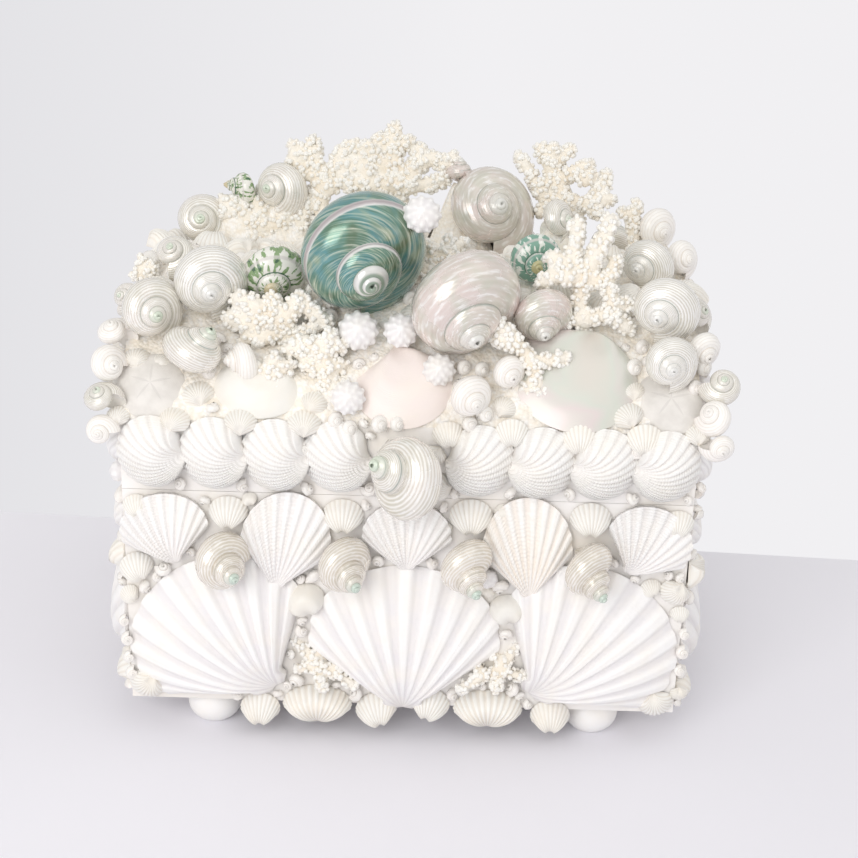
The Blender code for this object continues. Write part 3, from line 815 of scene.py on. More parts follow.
# Cockles: lid front rows, their beaks towards the middle, and plain rows elsewhere
rim_cockle = valve(0.0445, 0.0395, 0.0140, 22, 0.0012, 133, 20, spread=150, curl=0.65, skew=0.36,
                   full_from=0.48, lip=0.0016, rib_low=0.02, rib_high=0.45)
mirror = Matrix.Diagonal((-1, 1, 1, 1))
for where, turn in (("left", spun(90)), ("right", spun(-90) @ mirror)):
    node = f"lid_front_cockles_{where}"
    wall_row(node + "_shells", "beaded_shell", rim_cockle, "front", node, 4, turn)
plain_cockle = valve(0.0415, 0.0425, 0.0115, 16, 0.0010, 65, 11, curl=0.3, full_from=0.4)
wall_row("lid_back_cockle_shells", "white_shell", plain_cockle, "back", "lid_back_cockles", 8)
end_cockle_mid = lid_bottom + 0.0245
end_fan_mid = rim_top + lid_rise / 2 - 0.003
end_fan = valve(1.6 * lid_rise, lid_rise, 0.0095, 12, 0.0014, 97, 20, ears=0.03)
for face in ("left", "right"):
    low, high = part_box(f"lid_{face}_cockles")
    width = (high.y - low.y) / 5
    side_cockle = valve(width, 0.0425, 0.0105, 16, 0.0010, 65, 11, curl=0.2, full_from=0.4)
    batch = Batch(f"lid_{face}_end_shells", "white_shell")
    for index in range(5):
        batch.add(side_cockle, wall_frame(face, (index - 2) * width, end_cockle_mid))
    batch.add(end_fan, wall_frame(face, 0, end_fan_mid))
    batch.make(f"lid_{face}_cockles")
bottom_cockle = valve(0.0425, 0.0262, 0.0125, 17, 0.0011, 103, 18, spread=112, full_from=0.60)
for node in ("bottom_cockle_left", "bottom_cockle_right"):
    one_piece(node + "_shell", "cockle", bottom_cockle, front_frame(node), node)

# Turbans: centre, radius and tip in pixels, the shape and its material
coil = turban(cords=16, cord_height=0.012, per_turn=28, around=22)
plump = turban(per_turn=42, around=30, turns=4.4)
steep = turban(growth=1.75, turns=4.4, rise=2.5, per_turn=28, around=24, cords=10, cord_height=0.012)
small_coil = turban(per_turn=22, around=14, turns=3.4)
tall_coil = turban(growth=1.75, turns=4.6, rise=3.2, per_turn=28, around=24, cords=10, cord_height=0.012)
handle_coil = turban(growth=1.9, turns=4.4, rise=2.9, per_turn=42, around=34, cords=14, cord_height=0.016)
node_turbans = {
    "front_turban_1": (228.5, 553.5, 28, 244, 573, tall_coil, "front_nacre"),
    "front_turban_2": (359, 559, 27, 372, 584, tall_coil, "front_nacre"),
    "front_turban_3": (460.5, 565, 28, 470, 594, tall_coil, "front_nacre"),
    "front_turban_4": (585.5, 569, 27, 599, 598, tall_coil, "front_nacre"),
    "handle_turban": (401, 470, 39, 367, 456, handle_coil, "silver_nacre"),
    "green_turban": (369, 262, 62, 380, 297, plump, "green_nacre"),
    "pearl_turban_front": (463, 310, 53, 474, 353, plump, "rose_nacre"),
    "pearl_turban_back": (492, 217, 48, 501, 205, plump, "rose_nacre"),
    "banded_turban": (275, 278, 30, 276, 299, coil, "mottled_shell"),
    "mottled_turban": (536, 265, 27, 539, 275, coil, "teal_shell"),
    "pale_turban": (540, 318, 28, 541, 342, steep, "rose_nacre"),
    "silver_turban_1": (215, 288, 37, 221, 303, coil, "corded_nacre"),
    "silver_turban_2": (206, 216, 29, 206, 212, coil, "silver_nacre"),
    "silver_turban_3": (158, 313, 31, 170, 320, coil, "silver_nacre"),
    "silver_turban_4": (645, 268, 26, 630, 275, coil, "corded_nacre"),
    "silver_turban_5": (191, 353, 27, 213, 332, steep, "silver_nacre"),
}
for node, (*seen, shape, kind) in node_turbans.items():
    turban_piece(node + "_shell", kind, shape, seen, 0, node)
batch = Batch("silver_turbans_right_shells", "corded_nacre")
photo_turban(batch, coil, 666, 312, 33, 653, 324, 0.019)
photo_turban(batch, coil, 671, 366, 28, 671, 374, 0.016)
batch.make("silver_turbans_right")
back_turban_size = 0.0172
batch = Batch("back_turban_shells", "silver_nacre")
low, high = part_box("back_turbans")
for x in spaced(low.x, high.x, 9):
    centre = Vector((x, (low.y + high.y) / 2, (low.z + high.z) / 2))
    turn = spire_turn((0.3, 0.6, 0.75), (0.0, -0.3, -1.0))
    batch.add(small_coil, Matrix.Translation(centre) @ turn @ Matrix.Scale(back_turban_size, 4))
batch.make("back_turbans")

# Turbans that only the scene has, also with their height above the wood, and small ones at the lid's ends
end_turban_lift = 0.007
extra_turbans = {
    "small_pearl_turban": (557, 223, 20, 571, 222, 0.026, coil, "silver_nacre"),
    "left_far_turban": (176, 258, 21, 173, 247, 0.013, coil, "silver_nacre"),
    "spire_shell": (462, 176, 17, 462, 153, 0.040, steep, "rose_nacre"),
    "banded_cone": (240, 188, 16, 220, 184, 0.030, tall_coil, "mottled_shell"),
    "pale_round_shell": (283, 192, 27, 268, 192, 0.028, coil, "silver_nacre"),
    "striped_shell": (657, 232, 21, 664, 238, 0.018, coil, "cream_snail"),
    "right_end_turban": (719, 388, 20, 722, 380, 0.010, coil, "silver_nacre"),
    "cream_whelk": (242, 362, 19, 222, 361, 0.008, steep, "cream_snail"),
    "nodular_shell": (682, 262, 19, 690, 262, 0.010, coil, "cream_snail"),
    "round_shell": (471, 397, 21, 478, 408, 0.010, coil, "cream_snail"),
    "small_round_shell": (509, 373, 17, 514, 380, 0.008, small_coil, "cream_snail"),
}
end_turbans = {
    "left_end_turban": (105, 396, 18, 98, 388, "silver_nacre"),
    "left_end_low": (103, 429, 16, 98, 434, "cream_snail"),
    "left_end_high": (118, 331, 17, 112, 322, "cream_snail"),
    "left_end_back": (129, 300, 16, 122, 295, "silver_nacre"),
    "right_end_rim": (716, 449, 16, 722, 455, "cream_snail"),
    "left_end_shell": (110, 363, 18, 118, 366, "cream_snail"),
    "right_end_low": (712, 419, 18, 706, 412, "cream_snail"),
    "right_end_high": (703, 351, 18, 708, 360, "cream_snail"),
    "right_end_back": (697, 316, 17, 704, 310, "silver_nacre"),
}
for name, (*seen, lift, shape, kind) in extra_turbans.items():
    turban_piece(name, kind, shape, seen, lift)
for name, (*seen, kind) in end_turbans.items():
    turban_piece(name, kind, small_coil, seen, end_turban_lift)

# Clams, the mother of pearl shell and the sand dollars on the slope
smooth = {"full_from": 0.42, "lip": 0.0012, "wobble": 0.03}
slope_clams = {
    "pale_clam": (0.0500, 0.0360, "pale_clam", 170, 145, 0),
    "pink_clam": (0.0560, 0.0520, "pink_clam", 195, 118, 0),
    "pearl_shell": (0.0740, 0.0660, "pearl_valve", 160, 150, 0.004),
}
for node, (wide, tall, kind, turn, spread, uphill) in slope_clams.items():
    shape = valve(wide, tall, 0.0085, 0, 0, 72, 24, spread=spread, curl=0.25, **smooth)
    place = under(node_centre(node)) @ Matrix.Translation((0, uphill, 0)) @ spun(turn)
    one_piece(node + "_shell", kind, shape, place, node)
for node in ("sand_dollar_left", "sand_dollar_right"):
    place = under(node_centre(node)) @ Matrix.Rotation(0.3, 4, "Z") @ Matrix.Scale(0.0200, 4)
    one_piece(node + "_disc", "sand_dollar", disc(), place, node)
batch = Batch("lid_back_clam_shells", "pale_clam")
low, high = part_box("lid_back_clams")
angle = math.atan2((low.y + high.y) / 2 - middle_y, (low.z + high.z) / 2 - arc_centre)
back_clam = valve(0.0812, 0.0358, 0.0085, 0, 0, 60, 16, **smooth)
for x in spaced(low.x, high.x, 4):
    batch.add(back_clam, arc_frame(x, angle * arc_radius) @ spun(180))
batch.make("lid_back_clams")

# Knobby white shells: place and radius in pixels, and height of the middle in millimetres. The highest
# one rests on the green turban and needs no heap
knob_on_shell = 50
knob_reach = 1.18
knobby = Batch("knobby_shells", "white_shell")
knob = knob_shell()
for px, py, radius, lift in (
    (422, 215, 21, 61), (358, 331, 22, 12), (401, 331, 19, 14), (439, 370, 18, 9),
    (348, 398, 19, 8), (322, 262, 9, 22),
):
    place = at_photo(px, py, lift / 1000)
    size = metres(radius, place) / knob_reach
    facing = -ray(px, py).normalized() + (under(place).to_3x3() @ Vector((0, 0, 0.5)))
    if lift < knob_on_shell:
        heaps.append((place, size))
    turn = spire_turn(facing, (0.3, 0.1, -1))
    knobby.add(knob, Matrix.Translation(place) @ turn @ Matrix.Scale(size, 4))
knobby.make()

# Coral: branches drawn as pixel paths from a seat on the wood
coral_voxel = 0.0021
nub_area = 0.0000120
nub_radius = 0.0015
nub_sides = 5
nub_rings = ((1.0, 0.0), (1.06, 0.62), (0.68, 0.94))
least_nubs = 8
end_nubs = 14
golden_angle = 2.39996
full_circle = 6.2832


def at_depth(px, py, anchor, towards):
    """A point seen at a pixel, in the plane through anchor that faces the camera, moved towards it."""
    depth = (anchor - camera_place).dot(forward) - towards
    return camera_place + ray(px, py) * depth


def coral_core(name, balls):
    """A smooth skin over a chain of balls, as points and quads."""
    bm = bmesh.new()
    for centre, radius in balls:
        matrix = Matrix.Translation(centre) @ Matrix.Scale(radius, 4)
        bmesh.ops.create_icosphere(bm, subdivisions=1, radius=1, matrix=matrix)
    rough = bpy.data.meshes.new(name)
    bm.to_mesh(rough)
    bm.free()
    helper = linked(name, rough)
    skin = helper.modifiers.new("skin", "REMESH")
    skin.mode = "VOXEL"
    skin.voxel_size = coral_voxel
    bpy.context.view_layer.update()
    mesh = bpy.data.meshes.new_from_object(helper.evaluated_get(bpy.context.evaluated_depsgraph_get()))
    points = np.zeros(len(mesh.vertices) * 3)
    mesh.vertices.foreach_get("co", points)
    faces = [tuple(polygon.vertices) for polygon in mesh.polygons]
    bpy.data.objects.remove(helper)
    bpy.data.meshes.remove(rough)
    bpy.data.meshes.remove(mesh)
    return points.reshape(-1, 3), faces


def nub_mesh(nubs, start):
    """Small blunt fingers, each a ring of sides with a cap, as points and faces."""
    centre, way = (np.array([tuple(nub[part]) for nub in nubs]) for part in (0, 1))
    radius, length = (np.array([nub[part] for nub in nubs])[:, None] for part in (2, 3))
    helper = np.where(np.abs(way[:, :1]) > 0.7, np.array([[0.0, 1.0, 0.0]]), np.array([[1.0, 0.0, 0.0]]))
    side = np.cross(way, helper)
    side /= np.linalg.norm(side, axis=1, keepdims=True)
    other = np.cross(way, side)
    points = np.zeros((len(nubs), len(nub_rings), nub_sides, 3))
    for ring, (wide, along) in enumerate(nub_rings):
        for corner in range(nub_sides):
            angle = 2 * math.pi * corner / nub_sides
            out = side * math.cos(angle) + other * math.sin(angle)
            points[:, ring, corner] = centre + out * radius * wide + way * length * along
    index = np.arange(points.size // 3).reshape(points.shape[:3]) + start
    after = np.roll(index, -1, axis=2)
    quads = np.stack((index[:, :-1], after[:, :-1], after[:, 1:], index[:, 1:]), -1).reshape(-1, 4)
    return points.reshape(-1, 3), quads.tolist() + index[:, -1].tolist()


def coral_core_shade(points, bones):
    """Painted shade: whiter the further a point is out from the arms, and from the middle of the coral,
    warmer and darker towards the core.
    """
    best = np.full(len(points), 1e9)
    for start, end, radius in bones:
        a, b = np.array(start), np.array(end)
        run = b - a
        share = np.clip(((points - a) @ run) / max(run @ run, 1e-12), 0, 1)
        best = np.minimum(best, np.linalg.norm(points - (a + share[:, None] * run), axis=1) / radius)
    far = np.linalg.norm(points - points.mean(0), axis=1)
    return np.clip(0.60 * smooth_step(0.75, 1.25, best) + 0.10 + 0.40 * (far / far.max()), 0, 1)


def coral_piece(name, paths, thick, seed, nodes):
    """Branched coral: tapered arms covered with small blunt nubs."""
    chance = random.Random(seed)
    bones, balls, nubs = [], [], []
    for path, size in paths:
        radius = thick * size
        for start, end in zip(path[:-1], path[1:]):
            run = end - start
            steps = max(2, int(run.length / (radius * 0.5)))
            for step in range(steps + 1):
                balls.append((start.lerp(end, step / steps), radius * chance.uniform(0.86, 1.08)))
            bones.append((start, end, radius))
            if run.length < 1e-6:
                continue
            way = run.normalized()
            side = way.orthogonal().normalized()
            for index in range(max(least_nubs, int(run.length * radius * full_circle / nub_area))):
                outward = Matrix.Rotation(index * golden_angle + chance.uniform(-0.4, 0.4), 3, way) @ side
                lean = (outward + way * chance.uniform(-0.2, 0.5)).normalized()
                point = start.lerp(end, chance.random()) + outward * radius * 0.70
                nubs.append((point, lean, nub_radius * chance.uniform(0.8, 1.25),
                             radius * 0.30 + chance.uniform(0.0006, 0.0018)))
        way = (path[-1] - path[-2]).normalized()
        for _ in range(end_nubs):
            outward = Vector((chance.gauss(0, 1), chance.gauss(0, 1), chance.gauss(0, 1))).normalized()
            lean = (outward + way * 0.8).normalized()
            nubs.append((path[-1], lean, nub_radius, radius + chance.uniform(0.0004, 0.0016)))
    core_points, core_faces = coral_core(name + "_rough", balls)
    nub_points, nub_faces = nub_mesh(nubs, len(core_points))
    points = np.concatenate((core_points, nub_points))
    mesh = bpy.data.meshes.new(name)
    mesh.from_pydata(points.tolist(), [], core_faces + nub_faces)
    cover(points)
    finish_piece(name, mesh, coral_core_shade(points, bones), "coral", nodes)


# Each coral: seed, arm radius, seat pixel and lift in millimetres, replaced node, and its arms, each a
# row of pixels with their way towards the camera in millimetres
corals = {
    "coral_lattice": (3, 0.0052, (585, 318), 8, "coral_right", (
        (585, 322, 0, 577, 300, 4, 587, 277, 8, 596, 252, 8, 606, 234, 6, 610, 221, 5),
        (587, 277, 8, 566, 277, 12, 551, 276, 10, 543, 283, 8), (566, 277, 12, 562, 262, 10, 553, 258, 8),
        (570, 262, 8, 575, 243, 6, 577, 224, 5), (566, 268, 8, 590, 266, 8),
        (587, 277, 8, 607, 283, 8, 612, 300, 6, 610, 314, 6, 628, 328, 4), (607, 283, 8, 615, 262, 4),
        (611, 304, 6, 634, 306, 2), (588, 318, 4, 610, 315, 6), (577, 320, 4, 567, 322, 2))),
    "coral_right_back": (5, 0.0049, (577, 205), 4, "coral_back_right", (
        (577, 212, 0, 566, 200, 2, 557, 182, 0, 549, 166, 0, 541, 149, 0),
        (557, 182, 0, 573, 172, 4, 588, 166, 4), (549, 166, 0, 553, 150, 2),
        (573, 172, 4, 585, 182, 6, 592, 176, 4), (566, 200, 2, 588, 204, 6, 610, 199, 6),
        (588, 204, 6, 598, 214, 8), (557, 182, 0, 538, 186, 0), (541, 196, 0, 530, 172, -4, 520, 158, -6),
        (549, 166, 0, 562, 158, 0, 570, 150, 0), (588, 204, 6, 604, 188, 2, 606, 176, 0),
        (566, 200, 2, 548, 198, -2, 538, 190, -4), (548, 198, -2, 540, 212, -4))),
    "coral_small_right": (7, 0.0043, (636, 214), 6, None, (
        (634, 220, 0, 636, 205, 0), (634, 214, 0, 624, 213, 2))),
    "coral_slope_right": (9, 0.0046, (530, 372), 4, None, (
        (541, 396, 2, 536, 378, 4, 531, 362, 6, 520, 346, 8, 505, 330, 9, 498, 322, 8),
        (520, 346, 8, 507, 343, 8, 497, 338, 6), (531, 362, 6, 548, 361, 4, 563, 358, 2),
        (536, 378, 4, 528, 388, 3))),
    "coral_centre": (11, 0.0041, (436, 262), 12, None, (
        (432, 266, 0, 418, 276, 2), (432, 266, 0, 414, 257, 4, 407, 264, 2), (432, 266, 0, 427, 248, 4),
        (432, 266, 0, 443, 254, 2, 450, 240, 2), (443, 254, 2, 463, 243, 0),
        (432, 266, 0, 424, 268, 4, 416, 284, 3), (427, 248, 4, 418, 240, 2), (443, 254, 2, 456, 258, 2))),
    "coral_crest": (13, 0.0058, (398, 190), 8, "coral_back", (
        (398, 196, 0, 396, 176, 2, 392, 150, 0, 395, 130, 0), (396, 178, 2, 374, 160, 2, 352, 146, 0),
        (374, 160, 2, 368, 148, 4), (396, 178, 2, 414, 168, 0, 434, 158, 0), (392, 152, 0, 408, 142, 0),
        (392, 152, 0, 380, 140, 0), (346, 184, 4, 372, 186, 6, 400, 186, 6, 426, 186, 4, 443, 180, 2),
        (346, 184, 4, 341, 172, 4), (372, 186, 6, 366, 172, 6), (410, 188, 6, 412, 174, 6),
        (352, 146, 0, 338, 156, 0), (374, 160, 2, 358, 168, 4, 345, 166, 2), (414, 168, 0, 420, 150, -2),
        (396, 178, 2, 384, 166, 4), (434, 158, 0, 446, 166, 0, 452, 158, 0))),
    "coral_crest_left": (15, 0.0052, (322, 192), 8, None, (
        (322, 200, 0, 320, 180, 0, 316, 160, 0, 313, 143, 0), (320, 180, 0, 303, 170, 0, 293, 159, 0),
        (320, 180, 0, 333, 172, 0, 338, 160, 0), (303, 170, 0, 296, 180, 2),
        (316, 160, 0, 303, 152, 0, 294, 146, 0), (320, 180, 0, 330, 190, 4, 340, 182, 2))),
    "coral_left_back": (17, 0.0055, (270, 225), 10, "coral_middle", (
        (300, 236, 0, 300, 222, 4, 306, 208, 4, 312, 193, 2), (300, 222, 4, 283, 210, 6, 271, 202, 4),
        (262, 236, 4, 252, 221, 6, 238, 208, 6, 225, 201, 4), (252, 221, 6, 264, 214, 6, 258, 204, 6),
        (262, 236, 4, 240, 244, 6, 232, 242, 4), (262, 236, 4, 284, 236, 4, 300, 236, 0),
        (283, 210, 6, 290, 196, 4, 284, 186, 2), (271, 202, 4, 264, 190, 2),
        (252, 221, 6, 268, 226, 8, 284, 222, 8), (306, 208, 4, 318, 202, 4, 322, 212, 2),
        (238, 208, 6, 226, 214, 6))),
    "coral_slope_left": (19, 0.0058, (284, 330), 4, "coral_left", (
        (284, 334, 0, 275, 318, 6, 255, 306, 8, 239, 299, 6), (275, 318, 6, 250, 325, 6, 231, 318, 4),
        (284, 334, 0, 287, 314, 6, 300, 300, 4), (284, 334, 0, 300, 338, 3, 312, 330, 2),
        (284, 334, 0, 264, 338, 6, 246, 338, 4), (275, 318, 6, 272, 300, 6),
        (300, 300, 4, 312, 312, 4, 326, 322, 2))),
    "coral_slope_middle": (21, 0.0052, (318, 362), 3, None, (
        (330, 388, 2, 326, 368, 4, 322, 350, 6, 306, 342, 6, 291, 349, 4), (322, 350, 6, 329, 336, 6),
        (326, 368, 4, 311, 366, 4), (326, 368, 4, 342, 366, 2), (330, 388, 2, 346, 384, 2),
        (322, 350, 6, 340, 346, 4), (311, 366, 4, 302, 356, 4), (330, 388, 2, 318, 392, 2))),
    "coral_slope_low": (23, 0.0049, (272, 372), 3, None, (
        (276, 394, 2, 272, 376, 4, 273, 360, 6), (272, 376, 4, 262, 370, 4), (272, 376, 4, 288, 366, 4))),
    "coral_by_green": (25, 0.0043, (318, 292), 10, None, (
        (322, 306, 2, 314, 292, 4), (322, 306, 2, 337, 290, 4), (322, 306, 2, 330, 302, 4))),
    "coral_far_left": (27, 0.0041, (142, 272), 4, None, (
        (152, 268, 0, 136, 274, 0), (144, 270, 0, 142, 260, 0))),
    "coral_front_left": (29, 0.0035, (322, 660), 2, None, (
        (322, 686, 0, 318, 666, 2, 306, 650, 2, 296, 638, 1), (318, 666, 2, 334, 672, 2, 352, 684, 1),
        (318, 666, 2, 300, 668, 2), (312, 658, 2, 324, 648, 1), (334, 672, 2, 338, 660, 1))),
    "coral_front_right": (31, 0.0035, (498, 664), 2, None, (
        (496, 688, 0, 500, 670, 2, 510, 656, 2, 518, 642, 1), (500, 670, 2, 482, 676, 2, 462, 688, 1),
        (500, 670, 2, 520, 676, 2), (506, 662, 2, 492, 654, 1), (482, 676, 2, 478, 664, 1))),
}
for name, (seed, thick, (seat_x, seat_y), lift, node, arms) in corals.items():
    anchor = at_photo(seat_x, seat_y, lift / 1000)
    paths = []
    for index, arm in enumerate(arms):
        steps = np.reshape(arm, (-1, 3)).tolist()
        points = [at_depth(px, py, anchor, towards / 1000) for px, py, towards in steps]
        paths.append((points, 1.0 - 0.1 * (index > 2)))
        if index == 0:
            paths.append(([under(anchor).translation, points[0]], 1.1))
    coral_piece(name, paths, thick, seed, (node,) if node else ())

# Crushed shell over the arc of the lid: a bed between the shells of the pile and heaps under the raised ones
heap_bury = 0.55
heap_flat = 0.50
heap_slope = 2.6
heap_front = 2.2
heap_back = 0.8
bed_step = 0.0024
bed_thick = 0.0040
bed_least = 0.0002
bed_margin = 0.006
fine_grit, coarse_grit = 170, 60


def along_arc(place):
    return math.atan2(place.y - middle_y, place.z - arc_centre) * arc_radius


def heap_height(x, along):
    """Height of the heaps above the arc at each place."""
    height = np.zeros_like(x)
    for place, size in heaps:
        top = math.hypot(place.y - middle_y, place.z - arc_centre) - arc_radius - heap_bury * size
        behind = along - along_arc(place)
        away = np.hypot(x - place.x, behind * np.where(behind < 0, heap_front, heap_back))
        if top > 0 and place.z > rim_top:
            height = np.maximum(height, top - np.maximum(0, away - heap_flat * size) * heap_slope)
    return height


def grit_frame(x, along):
    """A frame on the arc or on its heaps, leaning with their slope."""
    near = 0.002
    here, over, beyond = heap_height(np.array([x, x + near, x]), np.array([along, along, along + near]))
    normal = Vector((here - over, here - beyond, near)).normalized()
    lean = Vector((0, 0, 1)).rotation_difference(normal).to_matrix().to_4x4()
    return arc_frame(x, along) @ raised(here) @ lean


def grit_bed():
    """The bed with its heaps, one piece, and no small shells on the heaps of the raised ones."""
    mask = covered["arc"]
    mask_rows, mask_columns = np.indices(mask.shape)
    for place, size in heaps:
        across = mask_columns * cell - half_length - place.x
        mask |= np.hypot(across, mask_rows * cell - half_arc - along_arc(place)) < 0.9 * size
    columns = int(2 * half_length / bed_step)
    rows = int(2 * half_arc / bed_step)
    x, along = np.meshgrid(np.linspace(-half_length, half_length, columns),
                           np.linspace(-half_arc, half_arc, rows))
    pairs = list(zip(x.flat, along.flat))
    rough = np.array([noise.noise(Vector((a * fine_grit, b * fine_grit, 0.5))) for a, b in pairs])
    lumps = np.array([noise.noise(Vector((a * coarse_grit, b * coarse_grit, 4.5))) for a, b in pairs])
    edge = np.minimum(half_length - np.abs(x), half_arc - np.abs(along))
    fade = smooth_step(0, bed_margin, edge).reshape(-1)
    heap = fade * heap_height(x, along).reshape(-1)
    height = bed_least + heap + fade * bed_thick * np.clip(0.40 + 0.5 * rough + 0.5 * lumps, 0.05, 1)
    angle = along.reshape(-1) / arc_radius
    reach = arc_radius + height
    y, z = middle_y + reach * np.sin(angle), arc_centre + reach * np.cos(angle)
    bed = Batch("shell_grit_bed", "shell_grit")
    bed.shapes.append(grid(np.stack((x.reshape(-1), y, z), -1).reshape(rows, columns, 3), flip=True))
    bed.make()


grit_bed()


# Small shells that the photograph shows one by one, as pixels
def add_seated(batch, shape, px, py, radius, turn):
    """Lays a shell on the wood below a pixel, its radius in pixels and its turn in degrees."""
    place = under(at_photo(px, py, seat_sight)) @ raised(seat_height) @ spun(turn)
    batch.add(shape, place @ Matrix.Scale(2 * metres(radius, place.translation), 4))


small_cockle = valve(1, 0.86, 0.42, 15, 0.034, 61, 8, spread=124, full_from=0.30, lip=0.03)
tiny_cockle = valve(1, 0.88, 0.42, 10, 0.034, 31, 6, spread=124, full_from=0.30, lip=0.03)
smooth_valve = valve(1, 0.9, 0.46, 0, 0, 40, 12, spread=130, full_from=0.55, lip=0.03)
snail = turban(growth=1.9, turns=2.7, per_turn=14, around=10)
tiny_snail = turban(growth=1.9, turns=2.1, per_turn=9, around=6)
pointed = spindle()
small_cockles = Batch("small_cockles", "cockle")
front_cockles = (
    (228, 513, 20, 0), (343, 517, 21, 0), (471, 518, 22, 0), (591, 521, 21, 0), (135, 507, 14, 20),
    (679, 525, 16, -10), (136, 568, 18, 30), (129, 596, 11, 60), (675, 594, 16, 150), (651, 590, 11, 30),
    (680, 616, 10, 0), (332, 578, 9, 20), (489, 594, 7, 0),
    (260, 709, 20, 0), (376, 710, 21, 20), (430, 705, 20, -20), (550, 717, 20, 0),
    (147, 685, 18, 150), (656, 705, 17, 200), (679, 696, 9, 180),
)
rim_cockles = (
    (174, 419, 16, -20), (240, 423, 17, 0), (304, 425, 17, 0), (197, 393, 17, 20), (314, 402, 15, -30),
    (448, 436, 16, 10), (512, 434, 17, 0), (580, 440, 19, 0), (645, 441, 19, 0), (628, 415, 17, 20),
    (634, 390, 13, 0), (505, 406, 14, -30), (136, 357, 15, 0), (162, 360, 11, -30), (117, 415, 12, 0),
    (699, 437, 13, 0), (660, 404, 8, 0),
)
for px, py, radius, turn in front_cockles + rim_cockles:
    add_seated(small_cockles, small_cockle, px, py, radius, turn)
small_cockles.make()
smooth_valves = Batch("smooth_valves", "pale_clam")
for px, py, radius in ((305, 601, 20), (507, 611, 18), (447, 530, 6), (249, 501, 8), (504, 514, 10)):
    add_seated(smooth_valves, smooth_valve, px, py, radius, 15)
smooth_valves.make()
small_snails = Batch("small_snails", "cream_snail")
for px, py, radius in (
    (464, 368, 8), (482, 370, 8), (259, 342, 8), (642, 348, 8), (634, 368, 9), (695, 388, 8),
    (704, 368, 9), (330, 318, 9), (167, 443, 7), (236, 446, 8), (303, 448, 8), (502, 447, 7), (566, 449, 7),
    (636, 451, 8), (380, 424, 9), (350, 428, 8), (210, 372, 8), (470, 440, 7), (336, 420, 8), (398, 424, 8),
    (470, 424, 8), (486, 414, 8), (410, 300, 8), (420, 296, 7), (346, 306, 8),
    (124, 620, 6), (127, 638, 7), (129, 656, 6), (132, 672, 7), (684, 634, 6), (682, 652, 7), (679, 670, 6),
):
    photo_turban(small_snails, snail, px, py, radius, px + radius * 0.3, py + radius * 0.4, radius * 0.0004)
small_snails.make()

# Feet and wood
foot_radius = 0.0168
for end in ("front", "back"):
    for side in ("left", "right"):
        node = f"foot_{end}_{side}"
        low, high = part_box(node)
        azimuth, level = round_grid(36, -1, 1, 12)
        radius = foot_radius * np.sqrt(1 - 0.62 * level**2)
        points = about_axis(radius, azimuth, level * (high.z - low.z) / 2)
        ends = [(points[row], points[row] * np.array([0, 0, 1])) for row in (0, -1)]
        caps = [grid(np.stack(end), flip=flip) for end, flip in zip(ends, (True, False))]
        shape = joined(grid(points), *caps)
        one_piece(node + "_turned", "white_shell", shape, Matrix.Translation(node_centre(node)), node)
for node in ("box_base", "lid"):
    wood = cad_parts[node]
    wood.data.materials.clear()
    wood.data.materials.append(materials["painted_wood"])


# Filling the gaps with small shells, from large to small
seam_below, seam_above = 1, 3
edge_cells = 2


def spread_out(mask):
    """The mask grown by one cell, with its corners cut."""
    grown = mask.copy()
    grown[1:] |= mask[:-1]
    grown[:-1] |= mask[1:]
    grown[:, 1:] |= mask[:, :-1]
    grown[:, :-1] |= mask[:, 1:]
    return grown


def fill_chart(name, radii, chance):
    """Free places on a face, each with the radius that fits there."""
    mask = covered[name]
    rows = len(mask)
    found = []
    for radius in radii:
        grown = mask.copy()
        for _ in range(int(radius / cell * 0.85)):
            grown = spread_out(grown)
        free_rows, free_columns = np.nonzero(~grown)
        order = list(range(len(free_rows)))
        chance.shuffle(order)
        placed = []
        for index in order:
            row, column = free_rows[index], free_columns[index]
            if all((row - r) ** 2 + (column - c) ** 2 > (1.8 * radius / cell) ** 2 for r, c in placed):
                placed.append((row, column))
        for row, column in placed:
            found.append((row * cell, column * cell, radius))
            reach = int(radius / cell)
            for r in range(max(0, row - reach), min(rows, row + reach + 1)):
                span = int(math.sqrt(max(0, reach**2 - (r - row) ** 2)))
                mask[r, max(0, column - span) : column + span + 1] = True
    return found


def chart_frame(name, up_place, across_place):
    if name == "arc":
        return grit_frame(across_place - half_length, up_place - half_arc)
    reach = half_length if name in ("front", "back") else half_depth
    return wall_frame(name, across_place - reach, base_bottom + up_place)


def block_edges():
    """Keeps shells off the seam, the bottom edge and the outside of the ends' arc."""
    seam_row = int((seam - base_bottom) / cell)
    for name in ("front", "back", "left", "right"):
        mask = covered[name]
        mask[seam_row - seam_below : seam_row + seam_above] = True
        mask[:edge_cells] = True
        mask[:, :edge_cells] = True
        mask[:, -edge_cells:] = True
    for name in ("left", "right"):
        mask = covered[name]
        rows, columns = np.indices(mask.shape)
        z = base_bottom + rows * cell
        y = columns * cell - half_depth
        mask |= (z > rim_top) & (np.hypot(y, z - arc_centre) > arc_radius - 0.003)


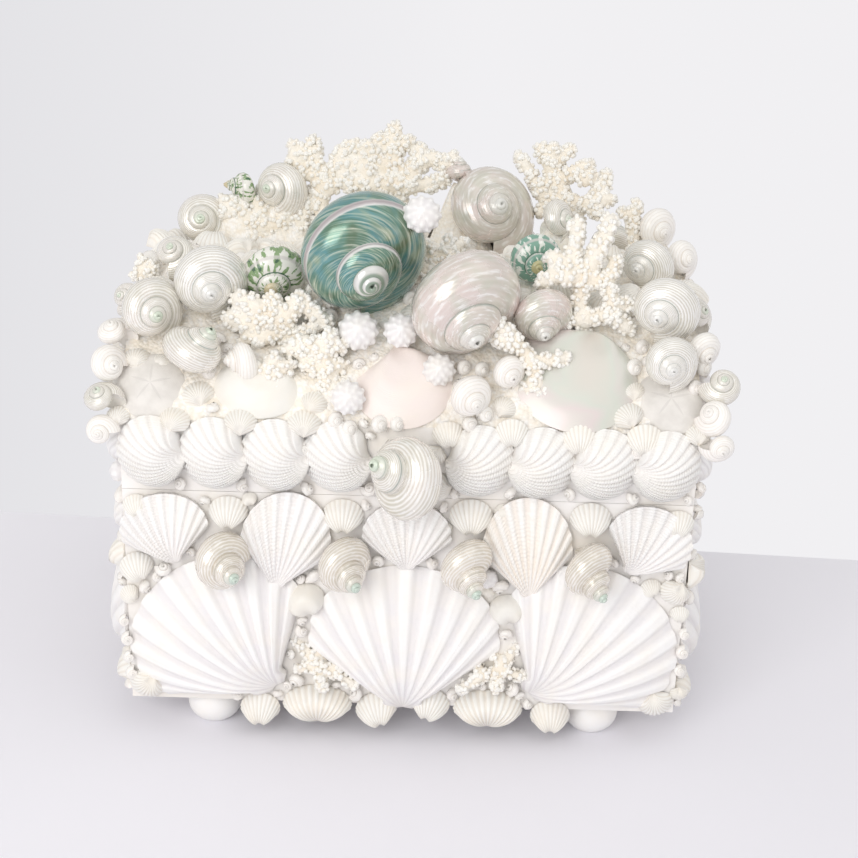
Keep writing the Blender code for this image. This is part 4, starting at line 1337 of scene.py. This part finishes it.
block_edges()
fillers = {
    "cockles": Batch("filler_cockles", "cockle"),
    "snails": Batch("filler_snails", "cream_snail"),
    "cones": Batch("filler_cones", "cream_snail"),
    "knobs": Batch("filler_knobs", "white_shell"),
}
filler_radii = (0.0125, 0.0100, 0.0080, 0.0065, 0.0052, 0.0042, 0.0034)
finest, small, middling, large = 0.0040, 0.0060, 0.0090, 0.0110
cockle_share, knob_share, snail_share = 0.62, 0.72, 0.80
tiny_knob = knob_shell(14, 26, (7, 6, 4))
chance = random.Random(41)
for name in covered:
    seen_well = name in ("front", "arc")
    for up_place, across_place, radius in fill_chart(name, filler_radii[: 7 if seen_well else 6], chance):
        place = chart_frame(name, up_place, across_place)
        spin = Matrix.Rotation(chance.uniform(0, 2 * math.pi), 4, "Z")
        tilt = Matrix.Rotation(chance.uniform(-0.3, 0.3), 4, "X")
        pick = chance.random()
        if radius > small and (pick < cockle_share or radius > middling):
            shape = small_cockle if radius > large and seen_well else tiny_cockle
            fillers["cockles"].add(shape, place @ raised(seat_height) @ spin @ Matrix.Scale(2.1 * radius, 4))
        elif radius > small and pick < knob_share:
            place = place @ raised(radius * 0.5) @ tilt @ spin
            fillers["knobs"].add(tiny_knob, place @ Matrix.Scale(radius * 0.9, 4))
        elif pick < snail_share or radius < finest:
            lay = Matrix.Rotation(chance.uniform(0.3, 1.2), 4, "X")
            place = place @ raised(radius * 0.7) @ spin @ lay
            shape = snail if radius > small else tiny_snail
            fillers["snails"].add(shape, place @ Matrix.Scale(radius * 1.05, 4))
        else:
            fillers["cones"].add(pointed, place @ spin @ Matrix.Scale(2.3 * radius, 4))
for batch in fillers.values():
    batch.make()


# Floor, surroundings and light
def make_floor():
    """A pale floor that ends where the photograph's wall begins."""
    def on_floor(px, py):
        way = ray(px, py)
        return camera_place + way * (-camera_place.z / way.z)

    left_end, right_end = on_floor(50, 514), on_floor(800, 557)
    along = (right_end - left_end).normalized()
    left_end, right_end = left_end - along * 4, right_end + along * 4
    near = Vector((0, -5, 0))
    corners = (left_end + near, right_end + near, right_end, left_end)
    mesh = bpy.data.meshes.new("floor")
    mesh.from_pydata([tuple(corner) for corner in corners], [], [(0, 1, 2, 3)])
    m = Nodes("floor", "floor", (0.87, 0.86, 0.91), 0.9)
    across = m.plus(m.split(m.place())[0], 0.5)
    m.colour(m.ramp(across, (0.1, (0.87, 0.86, 0.91)), (0.5, (0.86, 0.85, 0.90))))
    mesh.materials.append(m.material)
    made = linked("floor", mesh)


def area_light(name, place, target, size, power, colour=(1, 1, 1)):
    data = bpy.data.lights.new(name, "AREA")
    data.size = size
    data.energy = power
    data.color = colour
    way = Vector(target) - Vector(place)
    light = linked(name, data)
    light.matrix_world = Matrix.Translation(place) @ way.to_track_quat("-Z", "Y").to_matrix().to_4x4()


def make_world():
    """Soft light from above, and the pale surroundings that show beyond the floor's far edge."""
    world = bpy.data.worlds.new("studio")
    bpy.context.scene.world = world
    world.use_nodes = True
    m = Tree(world.node_tree)
    across, _, rise = m.split(m.node("ShaderNodeTexCoord").outputs["Generated"])
    share = m.node("ShaderNodeMapRange", {"From Min": -0.26, "From Max": 0.02, "Value": across})
    pale = m.mix(share.outputs[0], (0.775, 0.770, 0.795), (0.880, 0.872, 0.890))
    below = m.math("LESS_THAN", rise, 0.0)
    background = world.node_tree.nodes["Background"]
    m.feed(background.inputs["Color"], m.mix(below, (0.72, 0.713, 0.706), pale))


make_floor()
area_light("window", (-0.75, -1.75, 1.10), (0, 0, 0.12), 1.3, 17, (1.0, 0.99, 0.98))
area_light("sky_panel", (0.9, -0.5, 2.2), (0.1, 0, 0.1), 2.2, 6)
make_world()
bpy.context.scene.view_settings.view_transform = "Standard"
